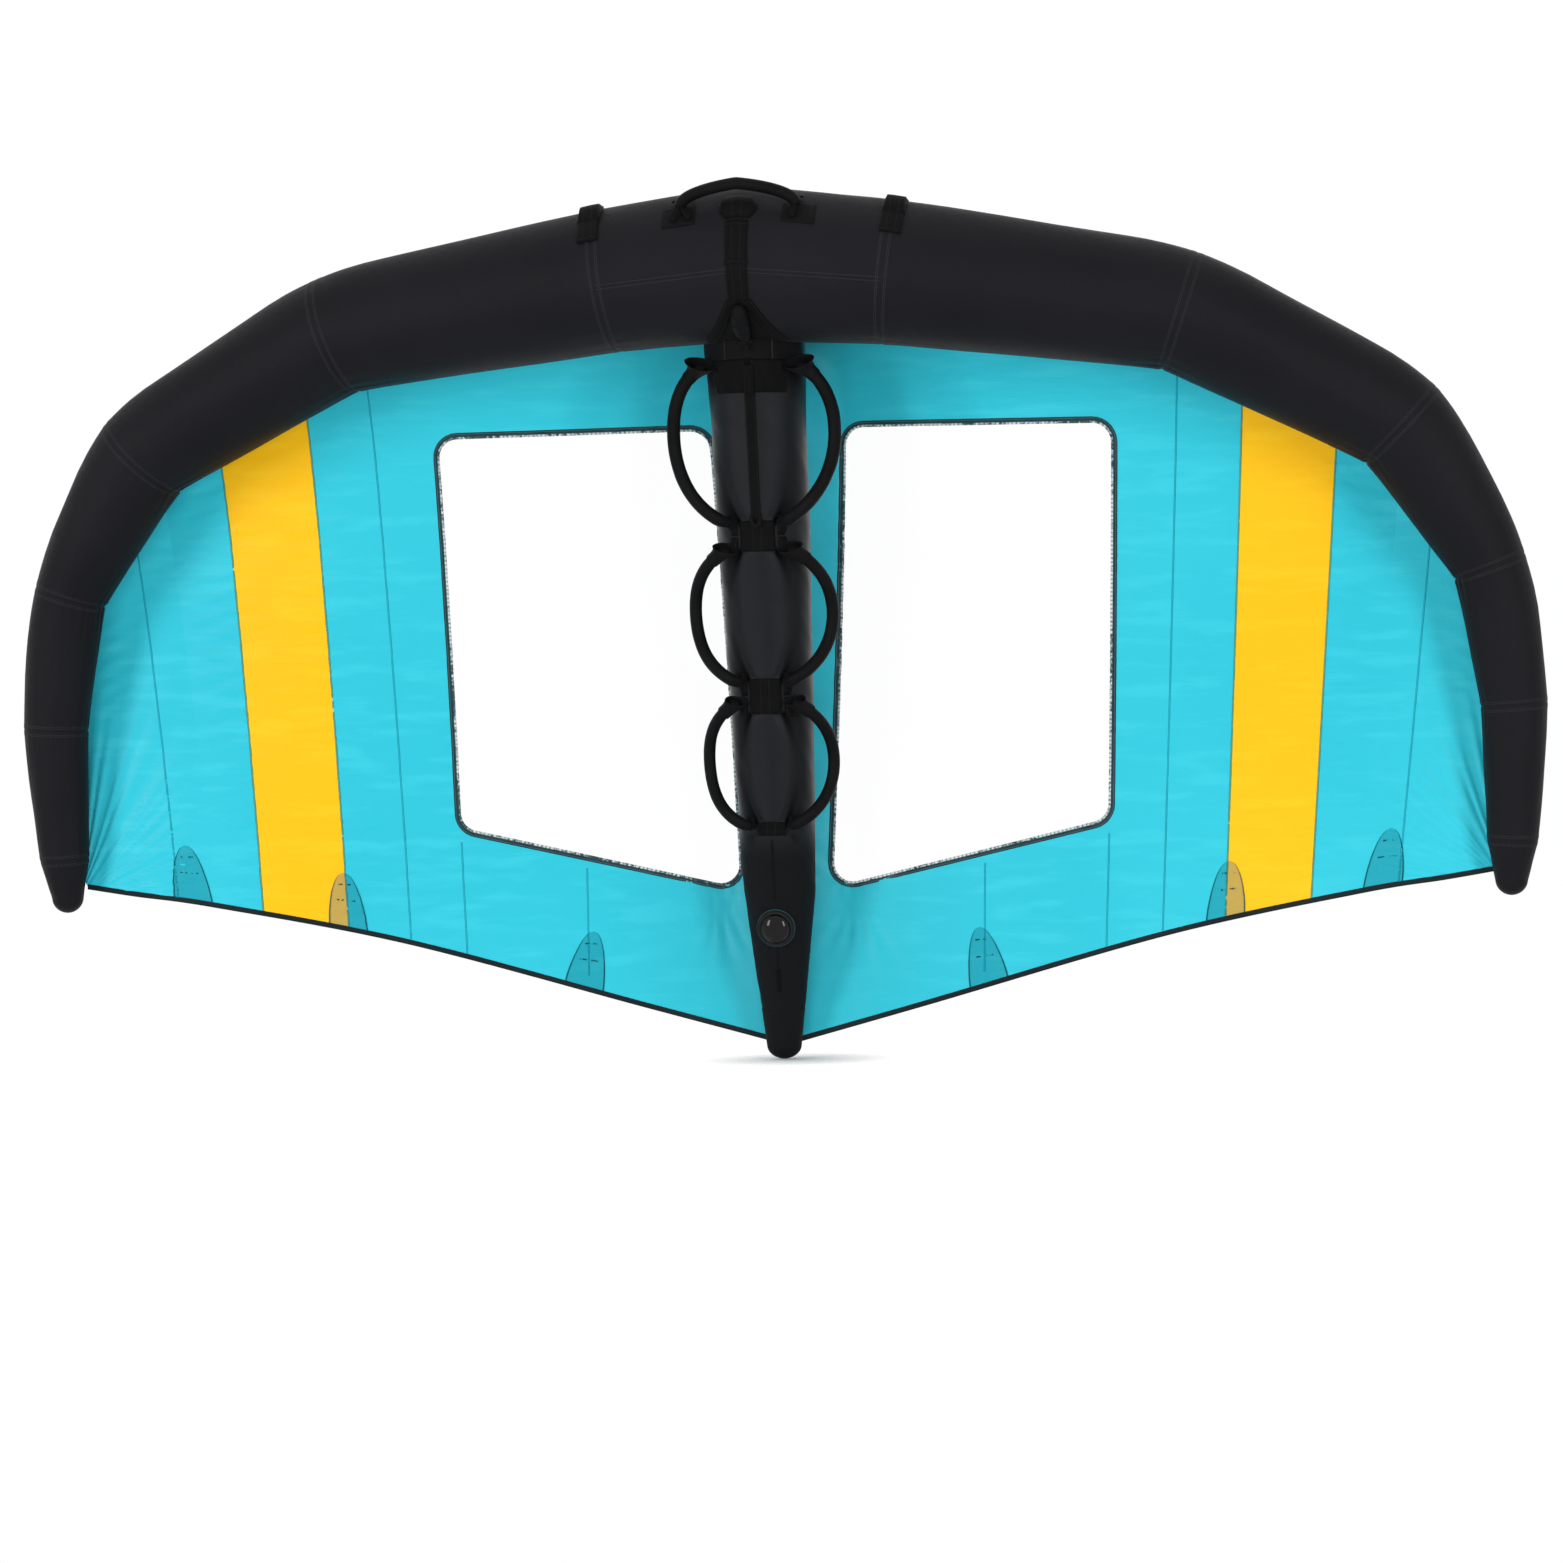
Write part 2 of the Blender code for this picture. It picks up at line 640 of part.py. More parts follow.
def rounded(corners, radius, arc_steps=3):
    """A closed outline through corners, each cut by an arc of the given radius."""
    points = []
    count = len(corners)
    for i in range(count):
        corner = Vector(corners[i])
        before = (Vector(corners[i - 1]) - corner).normalized()
        after = (Vector(corners[(i + 1) % count]) - corner).normalized()
        half = before.angle(after) / 2
        centre = corner + (before + after).normalized() * radius / math.sin(half)
        start = corner + before * radius / math.tan(half) - centre
        sweep = math.pi - 2 * half
        if before.cross(after) < 0:
            sweep = -sweep
        for step in range(arc_steps + 1):
            turn = Matrix.Rotation(-sweep * step / arc_steps, 2)
            points.append(tuple(centre + turn @ start))
    return points


def window_outline(sign, grow):
    """Window outline grown outwards by a width."""
    middle_x = (WINDOW_INNER + WINDOW_OUTER_TOP) / 2
    middle_z = (WINDOW_TOP_INNER + WINDOW_LOW_INNER) / 2
    corners = []
    for x, z in (
        (WINDOW_INNER, WINDOW_TOP_INNER),
        (WINDOW_OUTER_TOP, WINDOW_TOP_OUTER),
        (WINDOW_OUTER_LOW, WINDOW_LOW_OUTER),
        (WINDOW_INNER, WINDOW_LOW_INNER),
    ):
        x += grow if x > middle_x else -grow
        z += grow if z > middle_z else -grow
        corners.append((x * sign, z))
    return rounded(corners, WINDOW_CORNER + grow)


def place_of_x(x):
    """Station along the trailing edge whose x is the given one."""
    low, high = 0.0, TIP_END_SHARE
    for attempt in range(40):
        middle = (low + high) / 2
        if HALF_WIDTH * spline(TRAILING_SHARES, 0, middle) < x:
            low = middle
        else:
            high = middle
    return low


def panel_columns(start, end, count):
    """Stations across a canopy panel: count of them between two of the leading edge's own."""
    trim = SEAM_GAP / 2 / (AXIS[3] - AXIS[2]).length
    columns = {k / count for k in range(-LAST * count, LAST * count) if start < k / count < end}
    return sorted(columns | {start + trim, end - trim})


TAPE_START_SHARE = place_of_x(TAPE_START)
CENTRE_COLUMNS = sorted(
    panel_columns(-BAND_INNER_SHARE, BAND_INNER_SHARE, CENTRE_STEPS)
    + [-TAPE_START_SHARE, TAPE_START_SHARE]
)
BAND_COLUMNS = panel_columns(BAND_INNER_SHARE, BAND_OUTER_SHARE, TIP_PANEL_STEPS)
INNER_TIP_COLUMNS = panel_columns(BAND_OUTER_SHARE, TIP_SEAM_SHARE, CENTRE_STEPS)
OUTER_TIP_COLUMNS = panel_columns(TIP_SEAM_SHARE, TIP_END_SHARE, TIP_PANEL_STEPS)
OUTER_TIP_COLUMNS.insert(-1, TIP_LAST_COLUMN_SHARE)
ALL_COLUMNS = [place for place in CENTRE_COLUMNS if place > 0] + BAND_COLUMNS[1:]
ALL_COLUMNS += INNER_TIP_COLUMNS[1:] + OUTER_TIP_COLUMNS[1:]


def canopy_panels():
    centre = plate("canopy_centre", canopy_point, CENTRE_COLUMNS, CHORD, 0.0, CLOTH)
    catalogue(centre, TURQUOISE)
    for side, sign in (("left", -1), ("right", 1)):
        for name, columns, look in (
            ("canopy_band", BAND_COLUMNS, YELLOW),
            ("canopy_inner_tip", INNER_TIP_COLUMNS, TURQUOISE),
            ("canopy_outer_tip", OUTER_TIP_COLUMNS, TURQUOISE),
        ):
            places = [sign * place for place in columns]
            catalogue(plate(f"{name}_{side}", canopy_point, places, CHORD, 0.0, CLOTH), look)
    return centre


def windows(centre_panel):
    first, last = WINDOW_COLUMN_SHARES
    for side, sign in (("left", -1), ("right", 1)):
        hole = prism(f"window_hole_{side}", window_outline(sign, 0.0))
        boolean(centre_panel, "DIFFERENCE", hole)
        glass_edge = prism(f"window_edge_{side}", window_outline(sign, -SEAM_GAP))
        tape_out = prism(f"binding_outer_{side}", window_outline(sign, BINDING_HALF))
        tape_in = prism(f"binding_inner_{side}", window_outline(sign, -BINDING_HALF))
        columns = [place for place in CENTRE_COLUMNS if first < sign * place < last]
        film_low = (CLOTH - FILM) / 2
        film = plate(
            f"window_{side}", canopy_point, columns, CHORD[1:], film_low, film_low + FILM
        )
        boolean(catalogue(film, CLEAR_FILM), "INTERSECT", glass_edge)
        tape = plate(
            f"window_binding_{side}", canopy_point, columns, CHORD[1:],
            -SEAM_GAP - BINDING_THICK, -SEAM_GAP,
        )
        catalogue(tape, BINDING)
        boolean(tape, "INTERSECT", tape_out)
        boolean(tape, "DIFFERENCE", tape_in)


def bracket(values, value):
    """Neighbours of a value in a rising list, and how far it lies between them."""
    for low, high in zip(values, values[1:]):
        if value <= high:
            return low, high, (value - low) / (high - low)
    return values[-2], values[-1], 1.0


def facet_point(place, share):
    """Point on the canopy's own facets, which lie a little inside its curve."""
    a, b, across = bracket([0.0] + ALL_COLUMNS, place)
    c, d, down = bracket(CHORD, share)
    near = canopy_point(a, c, 0.0).lerp(canopy_point(a, d, 0.0), down)
    far = canopy_point(b, c, 0.0).lerp(canopy_point(b, d, 0.0), down)
    return near.lerp(far, across)


def trailing_tapes():
    """A folded tape round the canopy's free edge, from the strut to the tip."""
    fold = TAPE_GAP + TAPE_WALL
    section = (
        (-TAPE_WIDTH, -fold), (fold, -fold), (fold, CLOTH + fold), (-TAPE_WIDTH, CLOTH + fold),
        (-TAPE_WIDTH, CLOTH + TAPE_GAP), (TAPE_GAP, CLOTH + TAPE_GAP), (TAPE_GAP, -TAPE_GAP),
        (-TAPE_WIDTH, -TAPE_GAP),
    )
    for side, sign in (("left", -1), ("right", 1)):
        rings = []
        for place in ALL_COLUMNS:
            edge = facet_point(place, 1.0)
            chord = (edge - facet_point(place, 0.0)).length
            down = (edge - facet_point(place, 1.0 - TAPE_WIDTH / chord)).normalized()
            rings.append([
                mirrored(edge + down * along + Vector((0, across, 0)), sign)
                for along, across in section
            ])
        catalogue(solid(f"trailing_tape_{side}", rings), BINDING)


def trailing_patches():
    """Parabolic reinforcement patches sewn on the front near the trailing edge."""
    clear = TAPE_WIDTH + SEAM_GAP * 2
    for side, sign in (("left", -1), ("right", 1)):
        for number, x in enumerate(PATCH_X):
            place = place_of_x(x)
            edge = canopy_point(place, 1.0, 0.0)
            chord = (canopy_point(place, 0.0, 0.0) - edge).length
            near, far = place - PATCH_REACH_SHARE / 4, place + PATCH_REACH_SHARE / 4
            along = canopy_point(far, 1.0, 0.0) - canopy_point(near, 1.0, 0.0)
            lean = PATCH_LEAN_SHARES[number] * PATCH_LENGTH
            outline = []
            for step in steps(-1.0, 1.0, 8):
                rise = PATCH_LENGTH * (1 - step * step)
                across = PATCH_HALF * step
                z = edge.z + clear + across * along.z / along.x + rise
                outline.append((sign * (x + across + lean * (1 - step * step)), z))
            cutter = prism(f"patch_edge_{side}_{number + 1}", outline)
            columns = [
                sign * column for column in ALL_COLUMNS if abs(column - place) < PATCH_REACH_SHARE
            ]
            start = 1.0 - PATCH_LENGTH * 2 / chord
            rows = [share for share, low in zip(CHORD, CHORD[1:] + [2.0]) if low > start]
            piece = plate(
                f"trailing_patch_{side}_{number + 1}", canopy_point, columns, rows,
                -SEAM_GAP - PATCH_THICK, -SEAM_GAP,
            )
            boolean(catalogue(piece, PATCH_CLOTH), "INTERSECT", cutter)


# Webbing on the leading edge
def turn_rows(low, high):
    """Turns from low to high that follow the tube's own facets."""
    facet = 360.0 / TUBE_SIDES
    inner = range(math.floor(low / facet) + 1, math.ceil(high / facet))
    return [low] + [facet * k for k in inner] + [high]


def nose_plate(name, xs, turns, look):
    low, high = sorted(turns)
    across = [xs[0], (xs[0] + xs[1]) / 2, xs[1]]
    made = plate(name, nose_point, across, turn_rows(low, high), SEAT_GAP, SEAT_GAP + WEBBING)
    return catalogue(made, look)


def webbing_loop(name, x, half, turns, foot_turn):
    """A strap that lies on the tube up to turns[0] and arches off it up to turns[1]."""
    rise = turns[1] - turns[0]
    lip = rise / 8

    def surface(across, turn, lift):
        share = (turn - turns[0] - lip) / (rise - 2 * lip)
        arch = math.sin(math.pi * share) if 0 < share < 1 else 0.0
        return nose_point(across, turn, lift + LOOP_STAND * arch)

    foot = turn_rows(foot_turn, turns[0]) if foot_turn < turns[0] else [turns[0]]
    rows = foot + steps(turns[0] + lip, turns[1] - lip, 10) + [turns[1]]
    seam = math.copysign(AXIS[1].x, x)
    across = sorted([x - half, seam if x else x, x + half])
    return catalogue(plate(name, surface, across, rows, SEAT_GAP, SEAT_GAP + WEBBING), WEB)


def leading_edge_webbing():
    nose_plate("nose_strap", (-NOSE_STRAP_HALF, NOSE_STRAP_HALF), NOSE_STRAP_TURNS, WEB)
    webbing_loop("nose_leash_loop", 0.0, NOSE_LOOP_HALF, NOSE_LOOP_TURNS, NOSE_LOOP_TURNS[0])
    foot, low, high = SIDE_LOOP_TURNS
    for side, sign in (("left", -1), ("right", 1)):
        near, far = (sign * x for x in HANDLE_PATCH_X)
        nose_plate(f"front_handle_patch_{side}", (near, far), HANDLE_PATCH_TURNS, WEB)
        webbing_loop(f"le_strap_loop_{side}", sign * SIDE_LOOP_X, SIDE_LOOP_HALF, (low, high), foot)


# Collar, bands and strap on the strut
def turn_of(width, radius):
    return math.degrees(width / radius)


def strut_webbing():
    low, high = COLLAR_HEIGHTS
    collar = plate(
        "strut_collar", lambda turn, height, lift: strut_point(height, turn, lift),
        turn_rows(-COLLAR_TURN, COLLAR_TURN), steps(low, high, 2), SEAT_GAP, SEAT_GAP + WEBBING,
    )
    catalogue(collar, WEB)
    for side, sign in (("left", -1), ("right", 1)):
        slit = bmesh.new()
        bmesh.ops.create_cube(slit, size=1.0)
        cutter = hidden(mesh_object(f"collar_slit_{side}", slit))
        top = high - COLLAR_SLIT_LENGTH / 2 - COLLAR_SLIT_WIDTH
        cutter.location = strut_point(top, sign * COLLAR_SLIT_TURN, 0.0)
        cutter.rotation_euler = (0, 0, math.radians(sign * COLLAR_SLIT_TURN))
        cutter.scale = (COLLAR_SLIT_WIDTH, CUT_OVERRUN, COLLAR_SLIT_LENGTH)
        boolean(collar, "DIFFERENCE", cutter)
    for number, (low, high) in enumerate(BAND_HEIGHTS):
        flare = BAND_FLARE_TURN if number < len(BAND_HEIGHTS) - 1 else BAND_HALF_TURN
        span = high - low

        def band_surface(share, height, lift, low=low, span=span, flare=flare):
            down = smooth_step(2 * (1 - (height - low) / span) - 1)
            turn = share * (BAND_HALF_TURN + (flare - BAND_HALF_TURN) * down)
            return strut_point(height, turn, lift)

        band = plate(
            f"strut_band_{number + 1}", band_surface, steps(-1, 1, 8), steps(low, high, 4),
            SEAT_GAP, SEAT_GAP + WEBBING,
        )
        catalogue(band, WEB)
    low = BAND_HEIGHTS[0][1] + SEAM_GAP
    high = COLLAR_HEIGHTS[0] - SEAM_GAP

    def strap_surface(across, height, lift):
        return strut_point(height, turn_of(across, strut_at(height)[1]), lift)

    strap = plate(
        "strut_strap", strap_surface, [-STRAP_HALF, 0.0, STRAP_HALF],
        [low] + [row[0] for row in STRUT[::-1] if low < row[0] < high] + [high],
        SEAT_GAP, SEAT_GAP + WEBBING,
    )
    catalogue(strap, WEB)


# Handles
def grip(name, points, radii, look):
    """A padded grip along points; the object's origin is at its first sewn end."""
    line = bpy.data.curves.new(name, "CURVE")
    line.dimensions = "3D"
    line.bevel_depth = 1.0
    line.bevel_resolution = 2
    line.use_fill_caps = True
    run = line.splines.new("POLY")
    run.points.add(len(points) - 1)
    for knot, point, radius in zip(run.points, points, radii):
        knot.co = (*(point - points[0]), 1.0)
        knot.radius = radius
    made = catalogue(bpy.data.objects.new(name, line), look)
    made.location = points[0]
    return made


def grip_radii(count, cuff_first):
    """Radii along a grip: a flat sewn end, an open cuff next to it, the grip and the other end."""
    middle = (GRIP_END + GRIP_RADIUS) / 2
    start = [GRIP_END, GRIP_END, CUFF_RADIUS if cuff_first else middle, GRIP_RADIUS]
    end = [GRIP_RADIUS, middle, GRIP_END, GRIP_END]
    return start + [GRIP_RADIUS] * (count - len(start) - len(end)) + end


def handle_points(pair, sign):
    top, low = HANDLE_HEIGHTS[pair]
    rest = GRIP_END + SEAT_GAP
    edge = BAND_HALF_TURN + turn_of(GRIP_END + SEAT_GAP, strut_at(low)[1])
    points = []
    for share in steps(0.0, 1.0, HANDLE_STEPS):
        swing = math.sin(math.pi * share)
        height = top + (low - top) * (share * 0.6 + 0.4 * (1 - math.cos(math.pi * share)) / 2)
        turn = HANDLE_TOP_TURN[pair] + (edge - HANDLE_TOP_TURN[pair]) * share
        turn += HANDLE_BULGE_TURN[pair] * swing
        lift = rest + (HANDLE_STAND[pair] - rest) * swing ** HANDLE_ROUND_SHARE
        points.append(strut_point(height, sign * turn, lift))
    points.insert(0, strut_point(top + SEWN_LENGTH, sign * HANDLE_TOP_TURN[pair], rest))
    points.append(strut_point(low - SEWN_LENGTH, sign * edge, rest))
    return points


def handles():
    for pair in range(len(HANDLE_HEIGHTS)):
        for side, sign in (("left", -1), ("right", 1)):
            points = handle_points(pair, sign)
            radii = grip_radii(len(points), True)
            grip(f"handle_{side}_{pair + 1}", points, radii, GRIP)
            print("handle", side, pair + 1, [round(c, 4) for c in (*points[0], *points[-1])])
    rest = GRIP_END + SEAT_GAP * 2 + WEBBING
    points = [nose_point(-FRONT_HALF - SEWN_LENGTH, FRONT_TURNS[0], rest)]
    for share in steps(0.0, 1.0, HANDLE_STEPS):
        swing = math.sin(math.pi * share)
        x = -FRONT_HALF * math.cos(math.pi * share)
        turn = FRONT_TURNS[0] + (FRONT_TURNS[1] - FRONT_TURNS[0]) * swing
        points.append(nose_point(x, turn, rest + (FRONT_STAND - rest) * swing ** 0.75))
    points.append(nose_point(FRONT_HALF + SEWN_LENGTH, FRONT_TURNS[0], rest))
    grip("front_handle", points, grip_radii(len(points), False), GRIP)
    print("front handle", [round(c, 4) for c in (*points[0], *points[-1])])


# One-pump hose
def pipe_rings(points, radius, sides):
    """Rings of even twist along a path in the centre plane."""
    rings = []
    for i, point in enumerate(points):
        along = (points[min(i + 1, len(points) - 1)] - points[max(i - 1, 0)]).normalized()
        side = Vector((1, 0, 0))
        up = along.cross(side)
        rings.append([
            point + (side * math.cos(turn) + up * math.sin(turn)) * radius
            for turn in (2 * math.pi * k / sides for k in range(sides))
        ])
    return rings


def hose_path():
    """From inside the leading edge, out over its underside and back into the strut."""
    clear = HOSE_RISE - HOSE_RADIUS / 2
    mouth = COLLAR_HEIGHTS[1] + HOSE_RADIUS * 2.4
    knots = [
        tube_point(0, HOSE_LEAVE_TURN, -HOSE_DIP),
        tube_point(0, HOSE_LEAVE_TURN, clear / 2),
        tube_point(0, HOSE_LEAVE_TURN - 7, HOSE_RISE),
        tube_point(0, HOSE_LEAVE_TURN - 22, clear),
        strut_point(mouth, 0, HOSE_DROP),
        strut_point(mouth - HOSE_RADIUS / 2, 0, -HOSE_DROP),
        strut_point(mouth - HOSE_DROP * 2, 0, -HOSE_DIP),
    ]
    points = []
    for i in range(len(knots) - 1):
        p0, p1, p2, p3 = (knots[min(max(j, 0), len(knots) - 1)] for j in range(i - 1, i + 3))
        for share in steps(0.0, 1.0, 2)[:-1]:
            points.append(0.5 * (
                2 * p1 + (p2 - p0) * share + (2 * p0 - 5 * p1 + 4 * p2 - p3) * share ** 2
                + (3 * p1 - p0 - 3 * p2 + p3) * share ** 3
            ))
    return points + [knots[-1]]


def hose():
    path = hose_path()
    outer, inner = (pipe_rings(path, radius, HOSE_SIDES) for radius in (HOSE_RADIUS, HOSE_BORE))
    catalogue(hollow("one_pump_hose", outer, inner), HOSE)
    way = [path[0] + (path[0] - path[1]).normalized() * HOSE_DROP] + path
    way.append(path[-1] + (path[-1] - path[-2]).normalized() * HOSE_DROP)
    return hidden(solid("hose_way", pipe_rings(way, HOSE_RADIUS + SEAM_GAP, HOSE_SIDES)))


# Inflation valve
def valve_frame():
    """Placement with local +Z out of the strut's front."""
    place = strut_point(VALVE_HEIGHT, 0, 0.0)
    up = strut_point(VALVE_HEIGHT + FLANGE_RADIUS, 0, 0.0)
    down = strut_point(VALVE_HEIGHT - FLANGE_RADIUS, 0, 0.0)
    out = (up - down).cross(Vector((-1, 0, 0))).normalized()
    side = Vector((1, 0, 0))
    turn = Matrix((side, out.cross(side), out)).transposed()
    return Matrix.Translation(place) @ turn.to_4x4()


def turned(name, profile, frame):
    """A turned solid from a closed profile of (radius, height), outer side first, top to bottom."""
    shape = bmesh.new()
    knots = [shape.verts.new((radius, 0.0, height)) for radius, height in profile]
    for a, b in zip(knots, knots[1:]):
        shape.edges.new((a, b))
    if min(radius for radius, height in profile) > 0:
        shape.edges.new((knots[-1], knots[0]))
    mesh = bpy.data.meshes.new(name)
    shape.to_mesh(mesh)
    shape.free()
    obj = bpy.data.objects.new(name, mesh)
    obj.matrix_world = frame
    screw = obj.modifiers.new("turn", "SCREW")
    screw.steps = TURNED_STEPS
    screw.render_steps = TURNED_STEPS
    screw.use_merge_vertices = True
    screw.merge_threshold = 0.00001
    screw.use_smooth_shade = True
    return obj


def valve(sleeve, bag):
    frame = valve_frame()
    neck_low = -NECK_DEPTH
    base = turned("valve_base", [
        (COLLAR_RADIUS, COLLAR_RISE), (COLLAR_RADIUS, -COLLAR_SINK), (NECK_RADIUS, -COLLAR_SINK),
        (NECK_RADIUS, neck_low), (STEM_RADIUS + STEM_GAP, neck_low),
        (STEM_RADIUS + STEM_GAP, neck_low + BRIDGE_THICK), (BORE_RADIUS, neck_low + BRIDGE_THICK),
        (BORE_RADIUS, RECESS_FLOOR - LIP_THICK), (LIP_RADIUS, RECESS_FLOOR - LIP_THICK),
        (LIP_RADIUS, RECESS_FLOOR), (RECESS_RADIUS, RECESS_FLOOR), (RECESS_RADIUS, COLLAR_RISE),
    ], frame)
    catalogue(base, VALVE_PLASTIC)
    low = VALVE_HEIGHT - FLANGE_RADIUS - CUT_OVERRUN
    high = VALVE_HEIGHT + FLANGE_RADIUS + CUT_OVERRUN
    heights = sorted({low, high} | {row[0] for row in STRUT if low < row[0] < high})
    keep = hidden(solid("strut_keepout", [strut_ring(z, SEAT_GAP, TUBE_SIDES) for z in heights]))
    neck_way = hidden(turned("neck_way", [
        (0.0, CUT_OVERRUN), (NECK_RADIUS + SEAM_GAP, CUT_OVERRUN),
        (NECK_RADIUS + SEAM_GAP, neck_low - CUT_OVERRUN), (0.0, neck_low - CUT_OVERRUN),
    ], frame))
    neck_core = hidden(turned("neck_core", [
        (0.0, CUT_OVERRUN), (NECK_RADIUS + SEAM_GAP / 2, CUT_OVERRUN),
        (NECK_RADIUS + SEAM_GAP / 2, neck_low - CUT_OVERRUN), (0.0, neck_low - CUT_OVERRUN),
    ], frame))
    boolean(keep, "DIFFERENCE", neck_core)
    boolean(base, "DIFFERENCE", keep)
    for cloth in (sleeve, bag):
        boolean(cloth, "DIFFERENCE", neck_way)
    half_turn = turn_of(FLANGE_RADIUS + CUT_OVERRUN, strut_at(VALVE_HEIGHT)[1])
    flange = hidden(plate(
        "valve_flange", lambda turn, height, lift: strut_point(height, turn, lift),
        steps(-half_turn, half_turn, 20), heights, SEAT_GAP, SEAT_GAP + WEBBING,
    ))
    disc_edge = hidden(turned("flange_edge", [
        (0.0, CUT_OVERRUN * 2), (FLANGE_RADIUS, CUT_OVERRUN * 2), (FLANGE_RADIUS, -CUT_OVERRUN * 2),
        (0.0, -CUT_OVERRUN * 2),
    ], frame))
    collar_core = hidden(turned("collar_core", [
        (0.0, CUT_OVERRUN), (COLLAR_RADIUS - WEBBING, CUT_OVERRUN),
        (COLLAR_RADIUS - WEBBING, neck_low), (0.0, neck_low),
    ], frame))
    boolean(flange, "INTERSECT", disc_edge)
    boolean(flange, "DIFFERENCE", collar_core)
    boolean(base, "UNION", flange)
    for hole in range(AIR_HOLES):
        angle = 2 * math.pi * hole / AIR_HOLES
        reach = AIR_HOLE_REACH
        place = Matrix.Translation((reach * math.cos(angle), reach * math.sin(angle), 0))
        way = hidden(turned(f"air_hole_{hole + 1}", [
            (0.0, neck_low + BRIDGE_THICK * 2), (AIR_HOLE_RADIUS, neck_low + BRIDGE_THICK * 2),
            (AIR_HOLE_RADIUS, neck_low - BRIDGE_THICK), (0.0, neck_low - BRIDGE_THICK),
        ], frame @ place))
        way.modifiers["turn"].steps = AIR_HOLE_STEPS
        way.modifiers["turn"].render_steps = AIR_HOLE_STEPS
        boolean(base, "DIFFERENCE", way)
    disc_top = RECESS_FLOOR - LIP_THICK - SEAM_GAP
    stem_low = neck_low - PLUNGE / 2
    catalogue(turned("valve_plunger", [
        (0.0, disc_top), (DISC_RADIUS, disc_top), (DISC_RADIUS, disc_top - DISC_THICK),
        (STEM_RADIUS, disc_top - DISC_THICK), (STEM_RADIUS, stem_low), (0.0, stem_low),
    ], frame), VALVE_PLASTIC)
    spring_low = neck_low + BRIDGE_THICK + SPRING_WIRE + SEAM_GAP
    spring_high = disc_top - DISC_THICK - SPRING_WIRE - SEAM_GAP
    count = SPRING_TURNS * SPRING_POINTS
    coil = []
    for i in range(count + 1):
        angle = 2 * math.pi * i / SPRING_POINTS
        height = spring_low + (spring_high - spring_low) * i / count
        spot = (SPRING_RADIUS * math.cos(angle), SPRING_RADIUS * math.sin(angle), height)
        coil.append(frame @ Vector(spot))
    spring = grip("valve_spring", coil, [SPRING_WIRE] * len(coil), SPRING_STEEL)
    spring.data.bevel_resolution = 0
    gap = (spring_high - spring_low) / SPRING_TURNS - SPRING_WIRE * 2
    print("gap between the spring's turns in mm", round(gap * 1000, 2))
    cap_low = COLLAR_RISE + SEAM_GAP
    plug_low = cap_low - CAP_PLUG_DEPTH
    crown = cap_low + CAP_RIM + CAP_RISE
    dome = [
        (CAP_RADIUS * math.cos(angle), cap_low + CAP_RIM + CAP_RISE * math.sin(angle))
        for angle in (math.pi / 2 * step / 5 for step in range(4, -1, -1))
    ]
    catalogue(turned("valve_cap", [
        (0.0, crown), *dome, (CAP_RADIUS, cap_low), (CAP_PLUG_RADIUS, cap_low),
        (CAP_PLUG_RADIUS, plug_low), (CAP_PLUG_RADIUS - CAP_PLUG_WALL, plug_low),
        (CAP_PLUG_RADIUS - CAP_PLUG_WALL, cap_low + CAP_RIM), (0.0, cap_low + CAP_RIM),
    ], frame), VALVE_PLASTIC)
    ring_low = cap_low + SEAM_GAP
    catalogue(turned("valve_tether_ring", [
        (TETHER_RADIUS, ring_low + TETHER_THICK), (TETHER_RADIUS, ring_low),
        (CAP_RADIUS + STEM_GAP, ring_low), (CAP_RADIUS + STEM_GAP, ring_low + TETHER_THICK),
    ], frame), VALVE_PLASTIC)
    place, axis = frame.translation, frame.col[2][:3]
    print("valve", [round(c, 5) for c in place], "axis", [round(c, 5) for c in axis])


middle = leading_edge()
air_tube = leading_edge_bladder()
sleeve = strut_cloth()
air_strut = strut_bladder()
windows(canopy_panels())
trailing_tapes()
trailing_patches()
leading_edge_webbing()
strut_webbing()
handles()
hose_way = hose()
valve(sleeve, air_strut)

seat = [ring(place, SEAT_GAP, TUBE_SIDES, sign) for place, sign in ((1, -1), (0, 1), (1, 1))]
boolean(sleeve, "DIFFERENCE", hidden(solid("nose_seat", seat)))
for cloth in (middle, air_tube, sleeve, air_strut):
    boolean(cloth, "DIFFERENCE", hose_way)
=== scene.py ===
"""Wingfoil wing, dressed: cloth tubes, canopy, windows, webbing, grips, stitching and valve.

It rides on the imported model's bodies. Sizes are metres in the row frame, as in the CAD source:
+Z to the nose, -Y to the side with the handles, X across the span.
"""
import math
from contextlib import contextmanager

import bmesh
import bpy
import numpy as np
from mathutils import Matrix, Vector


